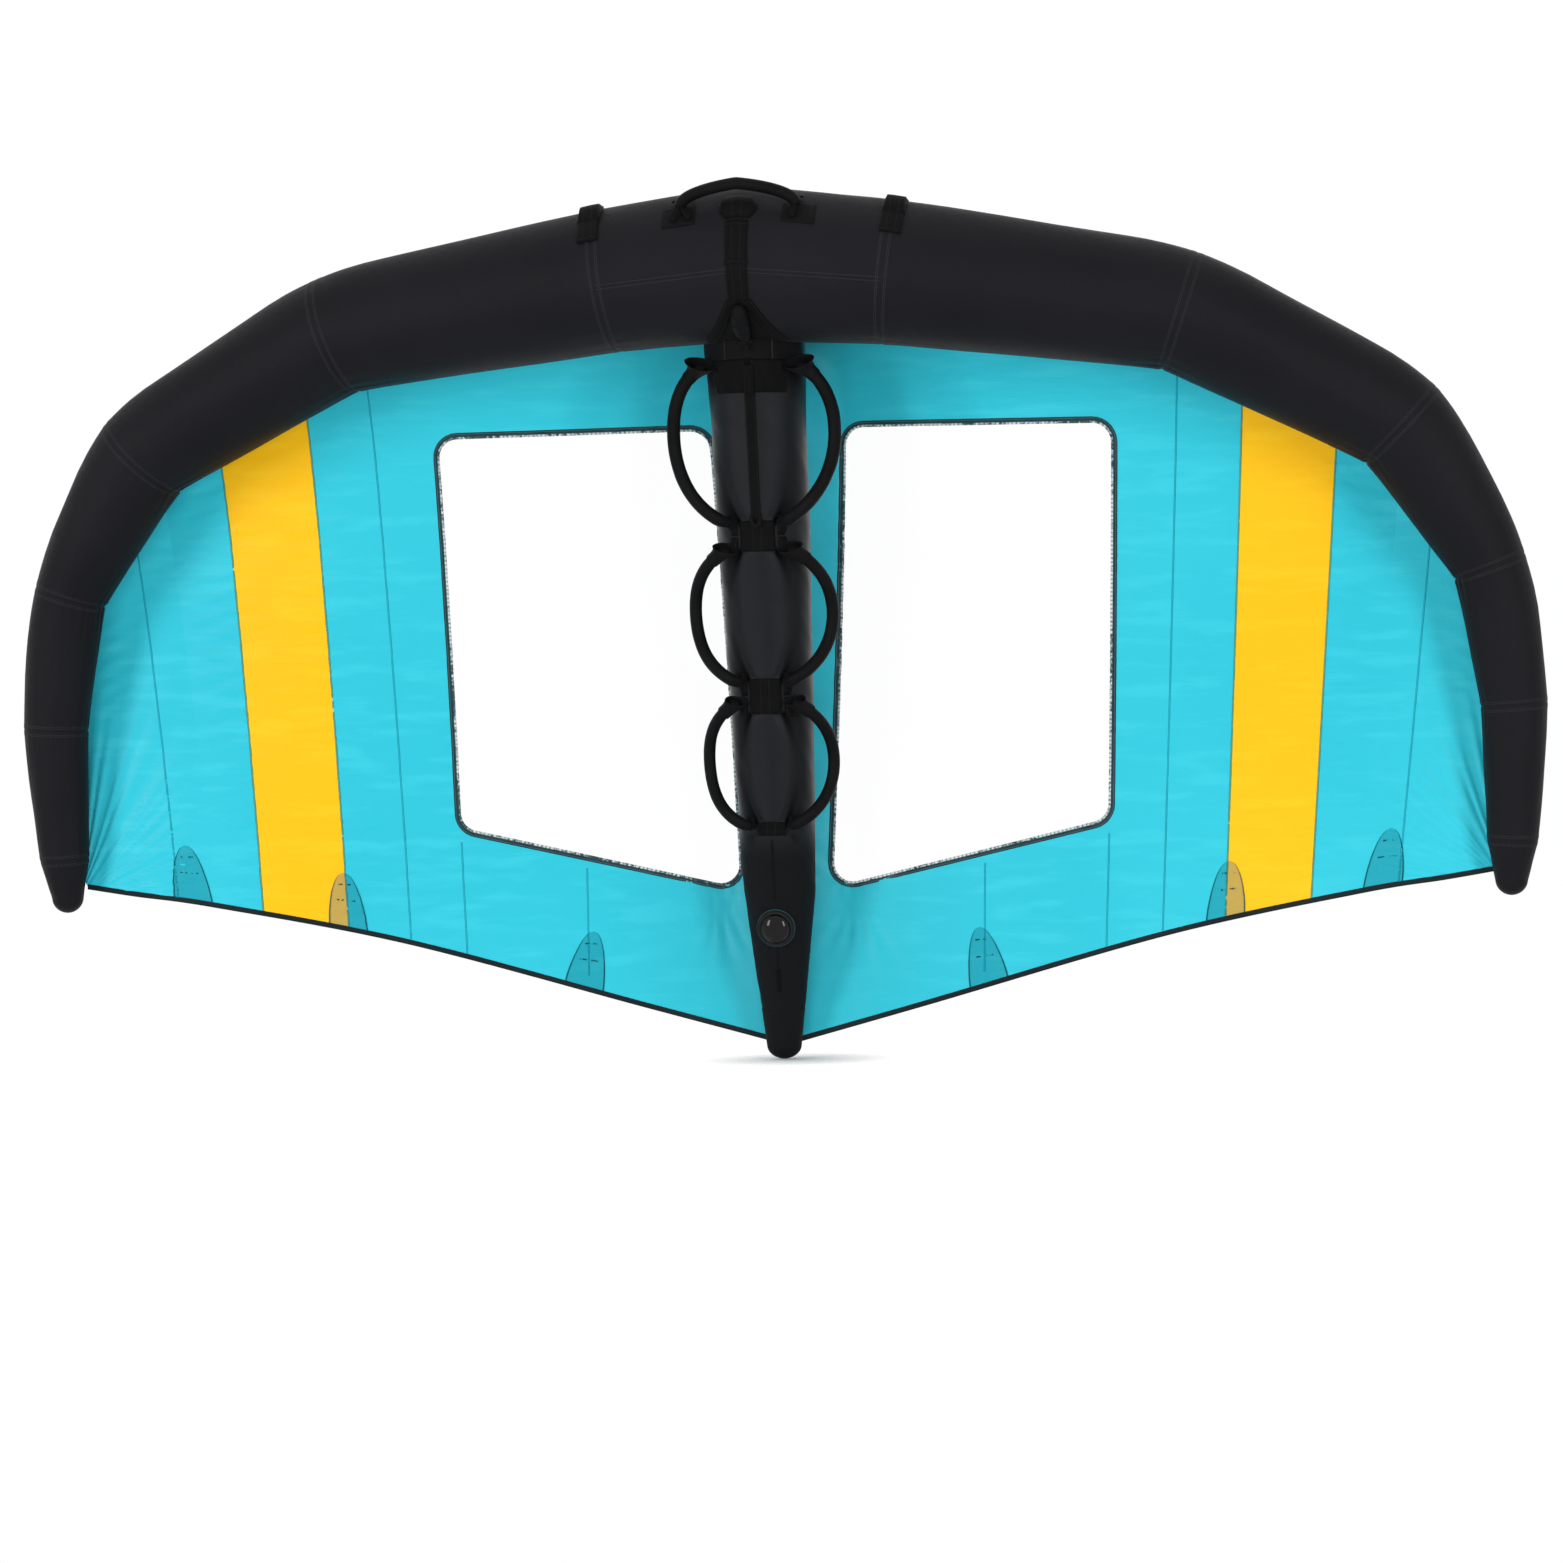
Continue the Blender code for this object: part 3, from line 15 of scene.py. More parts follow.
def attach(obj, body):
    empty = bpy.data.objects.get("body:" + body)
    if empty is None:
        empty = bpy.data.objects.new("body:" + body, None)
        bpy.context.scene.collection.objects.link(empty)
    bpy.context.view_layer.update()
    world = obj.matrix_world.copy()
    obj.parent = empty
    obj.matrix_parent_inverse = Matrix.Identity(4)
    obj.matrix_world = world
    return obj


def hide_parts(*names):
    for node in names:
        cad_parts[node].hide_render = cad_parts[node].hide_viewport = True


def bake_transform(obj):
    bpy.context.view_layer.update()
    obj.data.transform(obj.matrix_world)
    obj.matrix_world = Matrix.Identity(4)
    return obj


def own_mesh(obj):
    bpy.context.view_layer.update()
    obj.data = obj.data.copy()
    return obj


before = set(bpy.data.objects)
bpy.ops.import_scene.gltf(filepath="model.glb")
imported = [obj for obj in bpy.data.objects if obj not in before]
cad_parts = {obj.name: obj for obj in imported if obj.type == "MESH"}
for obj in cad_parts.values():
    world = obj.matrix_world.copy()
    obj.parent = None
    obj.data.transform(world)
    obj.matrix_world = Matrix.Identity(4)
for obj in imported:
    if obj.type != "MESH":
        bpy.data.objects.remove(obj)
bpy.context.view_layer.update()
WING = "wing"
SIDES = (("left", -1), ("right", 1))


def add_object(name, data):
    made = bpy.data.objects.new(name, data)
    bpy.context.scene.collection.objects.link(made)
    return made


# Camera at the photograph's place
TARGET = Vector((0.030, 0.0132, 0.593))
AZIMUTH, ELEVATION, ROLL = (math.radians(angle) for angle in (9.0, 0.82, -1.04))
DISTANCE = 11.55
back = Vector((math.sin(AZIMUTH) * math.cos(ELEVATION), -math.cos(AZIMUTH) * math.cos(ELEVATION),
               math.sin(ELEVATION)))
camera = add_object("camera", bpy.data.cameras.new("camera"))
flat_right = Vector((0, 0, 1)).cross(back).normalized()
flat_up = back.cross(flat_right)
right = flat_right * math.cos(ROLL) + flat_up * math.sin(ROLL)
up = back.cross(right)
camera.matrix_world = Matrix.Translation(TARGET + back * DISTANCE) @ Matrix(
    (right, up, back)).transposed().to_4x4()
camera.data.sensor_width = 36.0
camera.data.lens = 126.7
bpy.context.scene.camera = camera
bpy.context.scene.view_settings.view_transform = "Standard"


# Light and backdrop
def lamp(name, place, aim, size, power, height=None, glossy=True):
    data = bpy.data.lights.new(name, "AREA")
    data.shape = "RECTANGLE"
    data.size, data.size_y = size, height or size
    data.energy = power
    made = add_object(name, data)
    made.location = place
    made.rotation_euler = (Vector(aim) - Vector(place)).to_track_quat("-Z", "Y").to_euler()
    made.visible_glossy = glossy


lamp("left_box", (-4.9, -6.0, 2.0), (0.0, 0.0, 0.95), 1.7, 240, 4.2)
lamp("right_box", (5.1, -5.8, 1.9), (0.0, 0.0, 0.95), 1.5, 215, 4.0)
lamp("front_fill", (0.0, -10.0, -1.2), (0.0, 0.0, 0.9), 7.0, 430, 2.4, glossy=False)
lamp("top", (0.0, -0.6, 5.0), (0.0, 0.0, 1.2), 3.0, 20)
lamp("rear", (0.0, 4.6, 2.0), (0, 0, 0.9), 3.0, 30)

world = bpy.data.worlds.new("studio")
bpy.context.scene.world = world
world.use_nodes = True
nodes, links = world.node_tree.nodes, world.node_tree.links
plain = nodes["Background"]
plain.inputs["Color"].default_value = (0.86, 0.88, 0.9, 1.0)
plain.inputs["Strength"].default_value = 0.33
white = nodes.new("ShaderNodeBackground")
white.inputs["Color"].default_value = (1.0, 1.0, 1.0, 1.0)
path = nodes.new("ShaderNodeLightPath")
seen = path.outputs["Is Camera Ray"]
for ray in ("Is Transmission Ray", "Is Glossy Ray"):
    either = nodes.new("ShaderNodeMath")
    either.operation = "MAXIMUM"
    links.new(seen, either.inputs[0])
    links.new(path.outputs[ray], either.inputs[1])
    seen = either.outputs[0]
mix = nodes.new("ShaderNodeMixShader")
links.new(seen, mix.inputs["Fac"])
links.new(plain.outputs[0], mix.inputs[1])
links.new(white.outputs[0], mix.inputs[2])
links.new(mix.outputs[0], nodes["World Output"].inputs["Surface"])


# Materials
class Build:
    """Shorthand for a material's nodes."""

    def __init__(self, name, specular=0.12, **values):
        self.material = bpy.data.materials.new(name)
        self.material.use_nodes = True
        self.nodes = self.material.node_tree.nodes
        self.links = self.material.node_tree.links
        self.shader = self.nodes["Principled BSDF"]
        self.shader.inputs["Specular IOR Level"].default_value = specular
        self.set(**values)

    def put(self, socket, value):
        if isinstance(value, bpy.types.NodeSocket):
            self.links.new(value, socket)
        else:
            socket.default_value = value

    def fill(self, node, inputs):
        """Fills a node's inputs by name, with an underscore for each space."""
        for key, value in inputs.items():
            if value is not None:
                self.put(node.inputs[key.replace("_", " ").title()], value)
        return node

    def add(self, kind, **inputs):
        return self.fill(self.nodes.new("ShaderNode" + kind), inputs)

    def math(self, operation, *values):
        node = self.add("Math")
        node.operation = operation
        for socket, value in zip(node.inputs, values):
            self.put(socket, value)
        return node.outputs[0]

    def ramp(self, value, low, high, start=0.0, end=1.0):
        return self.add("MapRange", value=value, from_min=low, from_max=high, to_min=start,
                        to_max=end).outputs[0]

    def place(self, scale=(1, 1, 1), turn=(0, 0, 0)):
        place = self.add("TexCoord").outputs["Object"]
        return self.add("Mapping", vector=place, scale=scale, rotation=turn).outputs[0]

    def noise(self, scale, detail=3.0, vector=None, rough=0.5):
        return self.add("TexNoise", vector=vector or self.place(), scale=scale, detail=detail,
                        roughness=rough).outputs["Fac"]

    def wave(self, scale, direction):
        node = self.add("TexWave", vector=self.place(), scale=scale)
        node.bands_direction = direction
        return node.outputs["Fac"]

    def uv(self):
        """Metres across and along, from the map that add_grid makes."""
        node = self.add("UVMap")
        node.uv_map = "metres"
        split = self.add("SeparateXYZ", vector=node.outputs[0])
        return split.outputs[0], split.outputs[1]

    def near(self, value, place, width):
        """One where a value lies within a width of a place."""
        return self.math("LESS_THAN", self.math("ABSOLUTE", self.math("SUBTRACT", value, place)), width)

    def dashes(self, along, pitch, share):
        """One along the first share of every pitch."""
        return self.math("LESS_THAN", self.math("FRACT", self.math("DIVIDE", along, pitch)), share)

    def highest(self, values):
        """The largest of a few values."""
        top = values[0]
        for value in values[1:]:
            top = self.math("MAXIMUM", top, value)
        return top

    def stitches(self, across, along, rows, width=0.0007, pitch=0.0045):
        """One where a thread lies: rows are distances across, dashes run along."""
        threads = self.highest([self.near(across, row, width) for row in rows])
        return self.math("MULTIPLY", threads, self.dashes(along, pitch, 0.68))

    def mix(self, share, first, second):
        node = self.add("Mix")
        node.data_type = "RGBA"
        for index, value in ((0, share), (6, first), (7, second)):
            self.put(node.inputs[index], value)
        return node.outputs[2]

    def bump(self, height, distance, strength=1.0, after=None):
        return self.add("Bump", height=height, distance=distance, strength=strength,
                        normal=after).outputs[0]

    def set(self, **values):
        self.fill(self.shader, values)
        return self.material


def darker(colour, share):
    return tuple(share * part for part in colour[:3]) + (1,)


def woven(name, colour, light, roughness=0.55, grain=520.0, rows=(), thread=(0.030, 0.030, 0.033, 1),
          cross_rows=(), blotch=3.0, relief=0.00035, specular=0.06, shade=None):
    """Cloth with a fine weave, soft blotches and rows of stitches measured on its metre map, and
    painted shade from a named shade attribute.
    """
    b = Build(name, specular, sheen_weight=0.01, sheen_roughness=0.4)
    tone = b.noise(blotch, 4.0)
    fine = b.noise(90.0, 2.0)
    colour_out = b.mix(b.ramp(tone, 0.3, 0.7), colour, light)
    weave = b.math("ADD", b.wave(grain, "X"), b.wave(grain, "Z"))
    height = b.math("ADD", b.math("MULTIPLY", weave, 0.25), b.math("MULTIPLY", fine, 0.8))
    normal = b.bump(height, relief, 0.5)
    if rows or cross_rows:
        across, along = b.uv()
        mark = b.highest([b.stitches(first, second, places) for first, second, places in (
            (across, along, rows), (along, across, cross_rows)) if places])
        colour_out = b.mix(mark, colour_out, thread)
        normal = b.bump(mark, 0.0006, 0.7, normal)
    rough = b.ramp(b.math("ADD", tone, fine), 0.6, 1.4, roughness - 0.06, roughness + 0.08)
    # Painted shade: the mesh's shade attribute darkens the colour towards black.
    if shade:
        attribute = b.add("Attribute")
        attribute.attribute_name = shade
        dark = attribute.outputs["Fac"]
        colour_out = b.mix(dark, colour_out, (0.0006, 0.0006, 0.0007, 1))
        rough = b.math("MAXIMUM", rough, b.ramp(dark, 0.0, 0.8, roughness, 0.95))
    return b.set(base_color=colour_out, roughness=rough, normal=normal)


TUBE_DARK, TUBE_LIGHT = (0.0076, 0.0076, 0.0096, 1), (0.0106, 0.0106, 0.0128, 1)
SEAM_ROWS = (0.0068, 0.0104)
tube_cloth = woven("tube_cloth", TUBE_DARK, TUBE_LIGHT, 0.5, rows=SEAM_ROWS)
tube_centre_cloth = woven("tube_centre_cloth", TUBE_DARK, TUBE_LIGHT, 0.5, rows=SEAM_ROWS,
                          cross_rows=(-0.0300, -0.0215))
# The strut's cloth is darkened by its painted shade attribute.
strut_cloth = woven("strut_cloth", (0.0050, 0.0058, 0.0074, 1), (0.0074, 0.0084, 0.0104, 1), 0.30,
                       specular=0.13, shade="shade")
webbing = woven("webbing", (0.0016, 0.0016, 0.0018, 1), (0.0038, 0.0038, 0.0041, 1), 0.62,
                         900.0, rows=(-0.0085, 0.0085), relief=0.0006, thread=(0.011, 0.011, 0.012, 1))
patch_webbing = woven("patch_webbing", (0.0024, 0.0024, 0.0027, 1), (0.0052, 0.0052, 0.0056, 1), 0.60,
                      700.0, relief=0.0006)
grip_cloth = woven("grip_cloth", (0.0022, 0.0022, 0.0026, 1), (0.0048, 0.0048, 0.0054, 1), 0.46,
                      620.0, rows=(0.0,), relief=0.0006, blotch=14.0)
binding_tape = woven("binding_tape", (0.010, 0.034, 0.042, 1), (0.026, 0.060, 0.070, 1), 0.6, 900.0,
                         rows=(-0.0030, 0.0030), thread=(0.10, 0.14, 0.15, 1), blotch=22.0)


def piping(name):
    """The pale corded edge inside the window tape: short light stitches with dark gaps."""
    b = Build(name, roughness=0.6)
    along = b.uv()[1]
    specks = b.math("ADD", b.noise(150.0, 2.0), b.math("MULTIPLY", b.noise(9.0, 1.0), 0.7))
    mark = b.math("MULTIPLY", b.ramp(specks, 0.72, 0.88),
                  b.ramp(b.dashes(along, 0.009, 0.62), 0.0, 1.0, 0.45, 1.0))
    colour = b.mix(mark, (0.030, 0.070, 0.080, 1), (0.60, 0.68, 0.68, 1))
    return b.set(base_color=colour, normal=b.bump(mark, 0.0005, 0.6))


piping_material = piping("piping")
trailing_tape = woven("trailing_tape", (0.008, 0.012, 0.014, 1), (0.016, 0.022, 0.024, 1), 0.6, 900.0,
                      rows=(0.0,), thread=(0.06, 0.08, 0.08, 1))
dark_inside = woven("cuff_lining", (0.0025, 0.0025, 0.0028, 1), (0.004, 0.004, 0.0045, 1), 0.85)


def canopy_cloth(name, colour, shade, light):
    """Thin coated sail cloth: broad soft tone, fine wrinkles in places, a ripstop grid and painted
    shade beside the strut.
    """
    b = Build(name, 0.2, sheen_weight=0.06, roughness=0.45)
    broad = b.noise(1.1, 2.0)
    patches = b.ramp(b.noise(1.7, 3.0), 0.46, 0.62)
    creases = b.noise(9.0, 5.0, b.place((0.7, 1.0, 4.2), (0.0, 0.12, 0.0)), 0.55)
    long_creases = b.noise(5.0, 4.0, b.place((0.5, 1.0, 3.4), (0.0, -0.35, 0.0)), 0.5)
    fibre = b.noise(70.0, 3.0)
    colour_out = b.mix(b.ramp(broad, 0.35, 0.65), shade, colour)
    colour_out = b.mix(b.math("MULTIPLY", b.ramp(creases, 0.50, 0.66), 0.55), colour_out, light)
    across = b.add("SeparateXYZ", vector=b.place()).outputs[0]
    # Painted shade: the cloth's colour darkens towards the strut.
    shade_beside_strut = b.ramp(b.math("ABSOLUTE", across), 0.05, 0.42, 0.75, 0.0)
    colour_out = b.mix(shade_beside_strut, colour_out, darker(colour, 0.72))
    normal = b.bump(b.math("MULTIPLY", creases, patches), 0.006, 0.5)
    normal = b.bump(long_creases, 0.007, 0.35, normal)
    grid = b.math("ADD", b.wave(55.0, "X"), b.wave(55.0, "Z"))
    normal = b.bump(b.math("ADD", fibre, grid), 0.0003, 0.25, normal)
    return b.set(base_color=colour_out, normal=normal, roughness=b.ramp(fibre, 0.3, 0.7, 0.38, 0.48))


turquoise = canopy_cloth("turquoise_cloth", (0.032, 0.560, 0.690, 1), (0.024, 0.515, 0.645, 1),
                         (0.046, 0.600, 0.730, 1))
yellow = canopy_cloth("yellow_cloth", (0.965, 0.545, 0.006, 1), (0.945, 0.510, 0.004, 1),
                      (0.975, 0.580, 0.012, 1))


def seam_cloth(name, colour):
    """Cloth in its own colour with two rows of darker thread."""
    b = Build(name, roughness=0.5)
    across, along = b.uv()
    mark = b.stitches(across, along, (-0.0012, 0.0012), 0.0004, 0.003)
    return b.set(base_color=b.mix(mark, colour, darker(colour, 0.45)), normal=b.bump(mark, 0.0004, 0.6))


seam_turquoise = seam_cloth("seam_turquoise", (0.016, 0.430, 0.560, 1))
seam_dark = seam_cloth("seam_dark", (0.110, 0.330, 0.200, 1))


def see_through(name, colour, alpha, roughness):
    """Clear film with faint scratches."""
    b = Build(name, base_color=colour, roughness=roughness, alpha=alpha)
    scratches = b.noise(24.0, 5.0, b.place((1.0, 1.0, 2.0)))
    normal = b.bump(b.noise(3.5, 2.0), 0.01, 0.25)
    return b.set(roughness=b.ramp(scratches, 0.4, 0.7, roughness, roughness + 0.12), normal=normal)


clear_film = see_through("clear_film", (0.96, 0.98, 0.98, 1), 0.06, 0.06)


def patch_cloth(name):
    """A second layer of thin cloth: it darkens what lies under it, with a sewn border."""
    b = Build(name, 0.1, roughness=0.4)
    across, along = b.uv()
    side = b.math("ABSOLUTE", across)
    border = b.math("GREATER_THAN", side, 0.0388)
    stitch = b.math("MULTIPLY", b.math("GREATER_THAN", side, 0.006), b.math("LESS_THAN", side, 0.024))
    bars = b.highest([b.near(along, height, 0.0016) for height in (0.062, 0.098)])
    dots = b.ramp(b.noise(190.0, 1.0), 0.48, 0.52)
    mark = b.math("MAXIMUM", b.math("MULTIPLY", border, 0.85),
                  b.math("MULTIPLY", b.math("MULTIPLY", bars, stitch), dots))
    colour = b.mix(mark, (0.002, 0.210, 0.270, 1), (0.001, 0.030, 0.040, 1))
    return b.set(base_color=colour, alpha=b.ramp(mark, 0.0, 1.0, 0.27, 0.85),
                 normal=b.bump(mark, 0.0004, 0.5))


patch_film = patch_cloth("patch_film")


def moulded(name, colour, roughness, specular=0.12):
    """Plastic, rubber or film with a fine grain."""
    b = Build(name, specular, base_color=colour)
    grain = b.noise(260.0, 2.0)
    return b.set(roughness=b.ramp(grain, 0.3, 0.7, roughness, roughness + 0.06),
                 normal=b.bump(grain, 0.0001, 0.25))


gloss_black = moulded("gloss_black", (0.001, 0.001, 0.0015, 1), 0.05, specular=0.24)
satin_black = moulded("satin_black", (0.010, 0.010, 0.011, 1), 0.34)
bladder_film = moulded("bladder_film", (0.70, 0.73, 0.71, 1), 0.3)
outline_rubber = moulded("outline_rubber", (0.020, 0.075, 0.078, 1), 0.5)
steel = Build("spring_steel", metallic=1.0, base_color=(0.55, 0.56, 0.58, 1))
steel = steel.set(roughness=steel.ramp(steel.noise(400.0), 0.3, 0.7, 0.22, 0.36))


# Mesh helpers
def grid_faces(rows, columns, closed=False):
    """Quads of a grid of rows times columns; closed joins the last column to the first."""
    faces = []
    for r in range(rows - 1):
        for c in range(columns if closed else columns - 1):
            n = (c + 1) % columns
            low, high = r * columns, (r + 1) * columns
            faces.append((low + c, low + n, high + n, high + c))
    return faces


def end_face(row, columns, count=None):
    """One face over the first count points of a row of a grid."""
    return tuple(row * columns + c for c in range(count or columns))


def add_grid(name, points, look, uvs=None, body=WING, replaces="", closed=False, flip=False,
             more=()):
    """A piece from a grid of points and a few more faces; uvs are metres per point."""
    points = np.asarray(points)
    faces = grid_faces(*points.shape[:2], closed)
    if flip:
        faces = [face[::-1] for face in faces]
    mesh = bpy.data.meshes.new(name)
    mesh.from_pydata([tuple(point) for point in points.reshape(-1, 3)], [], faces + list(more))
    if uvs is not None:
        layer = mesh.uv_layers.new(name="metres")
        indices = np.empty(len(mesh.loops), dtype=np.int64)
        mesh.loops.foreach_get("vertex_index", indices)
        layer.data.foreach_set("uv", np.asarray(uvs, dtype=np.float32).reshape(-1, 2)[indices].ravel())
    made = add_object(name, mesh)
    mesh.materials.append(look)
    mesh.shade_smooth()
    if body:
        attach(made, body)
    if replaces:
        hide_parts(replaces)
    return made


@contextmanager
def editing(obj):
    """The piece's mesh, open for changes."""
    shape = bmesh.new()
    shape.from_mesh(obj.data)
    yield shape
    shape.to_mesh(obj.data)
    shape.free()
    obj.data.shade_smooth()


WELD = 0.00002


def weld(obj):
    """Joins points closer than WELD and turns the faces outward."""
    with editing(obj) as shape:
        bmesh.ops.remove_doubles(shape, verts=shape.verts, dist=WELD)
        bmesh.ops.recalc_face_normals(shape, faces=shape.faces)


def spread(*values):
    """A few values as arrays of floats of one shape."""
    return np.broadcast_arrays(*(np.asarray(value, float) for value in values))


def grid_of(down, along):
    """Both coordinates of a grid: the first runs down its rows."""
    return np.meshgrid(down, along, indexing="ij")


def unit_rows(vectors):
    return vectors / np.linalg.norm(vectors, axis=1)[:, None]


def run_length(line):
    """Metres along a line of points, at each point."""
    return np.concatenate([[0], np.cumsum(np.linalg.norm(np.diff(line, axis=0), axis=1))])


def smooth_step(value):
    value = np.clip(value, 0.0, 1.0)
    return value * value * (3.0 - 2.0 * value)


def bell(value, width):
    return np.exp(-(value / width) ** 2)


def ripple(x, seed, octaves=3):
    """A smooth irregular wave of x, from about -1 to 1."""
    total = np.zeros_like(x, dtype=float)
    rng = np.random.default_rng(seed)
    for octave in range(octaves):
        total = total + np.sin(x * 1.9 ** octave + rng.uniform(0, 6.28)) * 0.6 ** octave
    return total / 1.6


# Sizes from the CAD source
HALF_SPAN, NOSE_HEIGHT, DEPTH, FORWARD = 1.559, 1.672, 0.125, 0.0132
TUBE_RADIUS, STRUT_RADIUS, CAMBER = 0.160, 0.104, 0.170

# Leading edge by station: x, y, z and radius of its axis as shares, and the canopy's turn in degrees
STATIONS = np.array([
    (0.000, -1.00, 1.000, 1.000, 155), (0.188, -1.00, 0.984, 0.938, 155),
    (0.572, -0.56, 0.931, 0.806, 170), (0.861, -0.04, 0.786, 0.688, 175),
    (0.974, 0.20, 0.608, 0.506, 180), (1.000, 0.40, 0.436, 0.438, 180),
    (0.994, 0.54, 0.268, 0.334, 180), (0.991, 0.58, 0.219, 0.212, 180)])

# Trailing edge by station: x, y and z as shares, and the share of the camber
TRAILING = np.array([
    (0.0000, 1.640, 0.0167, 1.00), (0.1924, 1.600, 0.0658, 0.82), (0.5260, 1.360, 0.1525, 0.30),
    (0.7877, 0.944, 0.2033, 0.20), (0.8980, 0.880, 0.2189, 0.15), (0.9461, 0.880, 0.2261, 0.09),
    (0.9680, 0.864, 0.2297, 0.03)])

# Strut from its top down: z, y and radius as shares
STRUT = np.array([
    (0.9690, -0.680, 1.000), (0.8700, -0.400, 1.000), (0.7940, -0.200, 0.952), (0.6810, 0.112, 0.942),
    (0.5800, 0.368, 0.889), (0.4545, 0.656, 0.846), (0.3786, 0.816, 0.808), (0.2883, 0.992, 0.769),
    (0.2153, 1.112, 0.731), (0.1639, 1.192, 0.635), (0.0742, 1.280, 0.462), (0.0179, 1.320, 0.356)])
AXIS = np.stack([HALF_SPAN * STATIONS[:, 0], FORWARD + DEPTH * STATIONS[:, 1],
                 NOSE_HEIGHT * STATIONS[:, 2]], 1)
RADII = TUBE_RADIUS * STATIONS[:, 3]
LAST = len(AXIS) - 1
LENGTHS = [float(np.linalg.norm(AXIS[k + 1] - AXIS[k])) for k in range(LAST)]
RUNS = [Vector(AXIS[k + 1] - AXIS[k]).normalized() for k in range(LAST)]
STRUT_Z, STRUT_Y = NOSE_HEIGHT * STRUT[:, 0], FORWARD + DEPTH * STRUT[:, 1]
STRUT_R = STRUT_RADIUS * STRUT[:, 2]


def ring_frame(k):
    """Centre, tangent, front and outward spoke of the mitred ring at a station."""
    if k == 0:
        tangent = Vector((1, 0, 0))
    elif k == LAST:
        tangent = RUNS[-1]
    else:
        tangent = (RUNS[k - 1] + RUNS[k]).normalized()
    front = Vector((0, -1, 0))
    front = (front - tangent * front.dot(tangent)).normalized()
    outward = front.cross(tangent) / tangent.dot(RUNS[min(k, LAST - 1)])
    return np.array(AXIS[k]), np.array(tangent), np.array(front), np.array(outward)


FRAMES = [ring_frame(k) for k in range(LAST + 1)]
CENTRES, TANGENTS, FRONTS, OUTWARDS = (np.array(part) for part in zip(*FRAMES))


def tube_points(place, turn, lift=0.0):
    """Points on the leading edge for arrays of stations and turns in degrees."""
    place, turn, lift = spread(place, turn, lift)
    reach = np.abs(place)
    k = np.minimum(reach.astype(int), LAST - 1)
    share = (reach - k)[..., None]
    angle = np.radians(turn)
    ends = []
    for j in (k, k + 1):
        spoke = FRONTS[j] * np.cos(angle)[..., None] + OUTWARDS[j] * np.sin(angle)[..., None]
        ends.append(CENTRES[j] + spoke * (RADII[j] + lift)[..., None])
    point = ends[0] * (1 - share) + ends[1] * share
    point[..., 0] *= np.where(place < 0, -1, 1)
    return point


def nose_points(x, turn, lift=0.0):
    """Points on the leading edge near the nose, by x."""
    x = np.asarray(x, float)
    reach = np.abs(x)
    k = np.where(reach <= AXIS[1, 0], 0, 1)
    place = k + (reach - AXIS[k, 0]) / (AXIS[k + 1, 0] - AXIS[k, 0])
    return tube_points(np.where(x < 0, -1, 1) * np.maximum(place, 1e-9), turn, lift)


def strut_at(z):
    """Middle and radius of the strut at a height."""
    order = slice(None, None, -1)
    return np.interp(z, STRUT_Z[order], STRUT_Y[order]), np.interp(z, STRUT_Z[order], STRUT_R[order])


def strut_points(z, turn, lift=0.0):
    """Points on the strut by height and turn; turn 0 faces the front."""
    z, turn, lift = spread(z, turn, lift)
    y, radius = strut_at(z)
    angle = np.radians(turn)
    return np.stack([(radius + lift) * np.sin(angle), y - (radius + lift) * np.cos(angle), z], -1)


def spline(column, place):
    """A column of the trailing edge's table, smooth between its stations."""
    place = np.asarray(place, float)
    rows = TRAILING[:, column]
    last = len(rows) - 1
    k = np.minimum(place.astype(int), last - 1)
    share = place - k
    mirror = -1.0 if column == 0 else 1.0
    first = 2 * rows[0] - rows[1] if column == 2 else mirror * rows[1]
    before = np.where(k > 0, rows[np.maximum(k - 1, 0)], first)
    after = rows[np.minimum(k + 2, last)]
    a, b = rows[k], rows[k + 1]
    return 0.5 * (2 * a + (b - before) * share + (2 * before - 5 * a + 4 * b - after) * share ** 2
                  + (3 * a - before - 3 * b + after) * share ** 3)


def canopy_points(place, share, lift=0.0):
    """Points on the canopy: place counts stations, share runs down the chord."""
    place, share, lift = spread(place, share, lift)
    reach = np.abs(place)
    turn = np.interp(reach, np.arange(LAST + 1), STATIONS[:, 4])
    front = tube_points(reach, turn, 0.0003)
    edge = np.stack([HALF_SPAN * spline(0, reach), FORWARD + DEPTH * spline(1, reach),
                     NOSE_HEIGHT * spline(2, reach)], -1)
    point = front * (1 - share[..., None]) + edge * share[..., None]
    peak = 0.30
    camber = np.where(share < peak, (2 * peak * share - share ** 2) / peak ** 2,
                      (1 - 2 * peak + 2 * peak * share - share ** 2) / (1 - peak) ** 2)
    point[..., 1] += CAMBER * spline(3, reach) * camber
    # Near the strut the cloth lies on its back, up to where the strut meets the leading edge
    low, high = NOSE_HEIGHT * 0.84, NOSE_HEIGHT * 0.94
    near = (1 - smooth_step(point[..., 0] / 0.146)) * smooth_step((high - point[..., 2]) / (high - low))
    y, radius = strut_at(point[..., 2])
    point[..., 1] += near * (y + radius + 0.0004 - point[..., 1]) + lift
    point[..., 0] *= np.where(place < 0, -1, 1)
    return point


# Leading edge
def seam_spacing(length, dense=(0.0, 0.004, 0.008, 0.011, 0.014, 0.02, 0.028, 0.038, 0.052, 0.07)):
    """Shares along a run of a length, closer together at both of its seams."""
    half = [d for d in dense if d < length * 0.45]
    count = max(2, int((length - 2 * half[-1]) / 0.035))
    middle = list(np.linspace(half[-1], length - half[-1], count + 1))
    return np.array(half + middle[1:-1] + [length - d for d in half[::-1]]) / length


# How much each station's outer corner is rounded, in metres
BENDS = (0.0, 0.0020, 0.0115, 0.0165, 0.0135, 0.0040, 0.0020, 0.0)


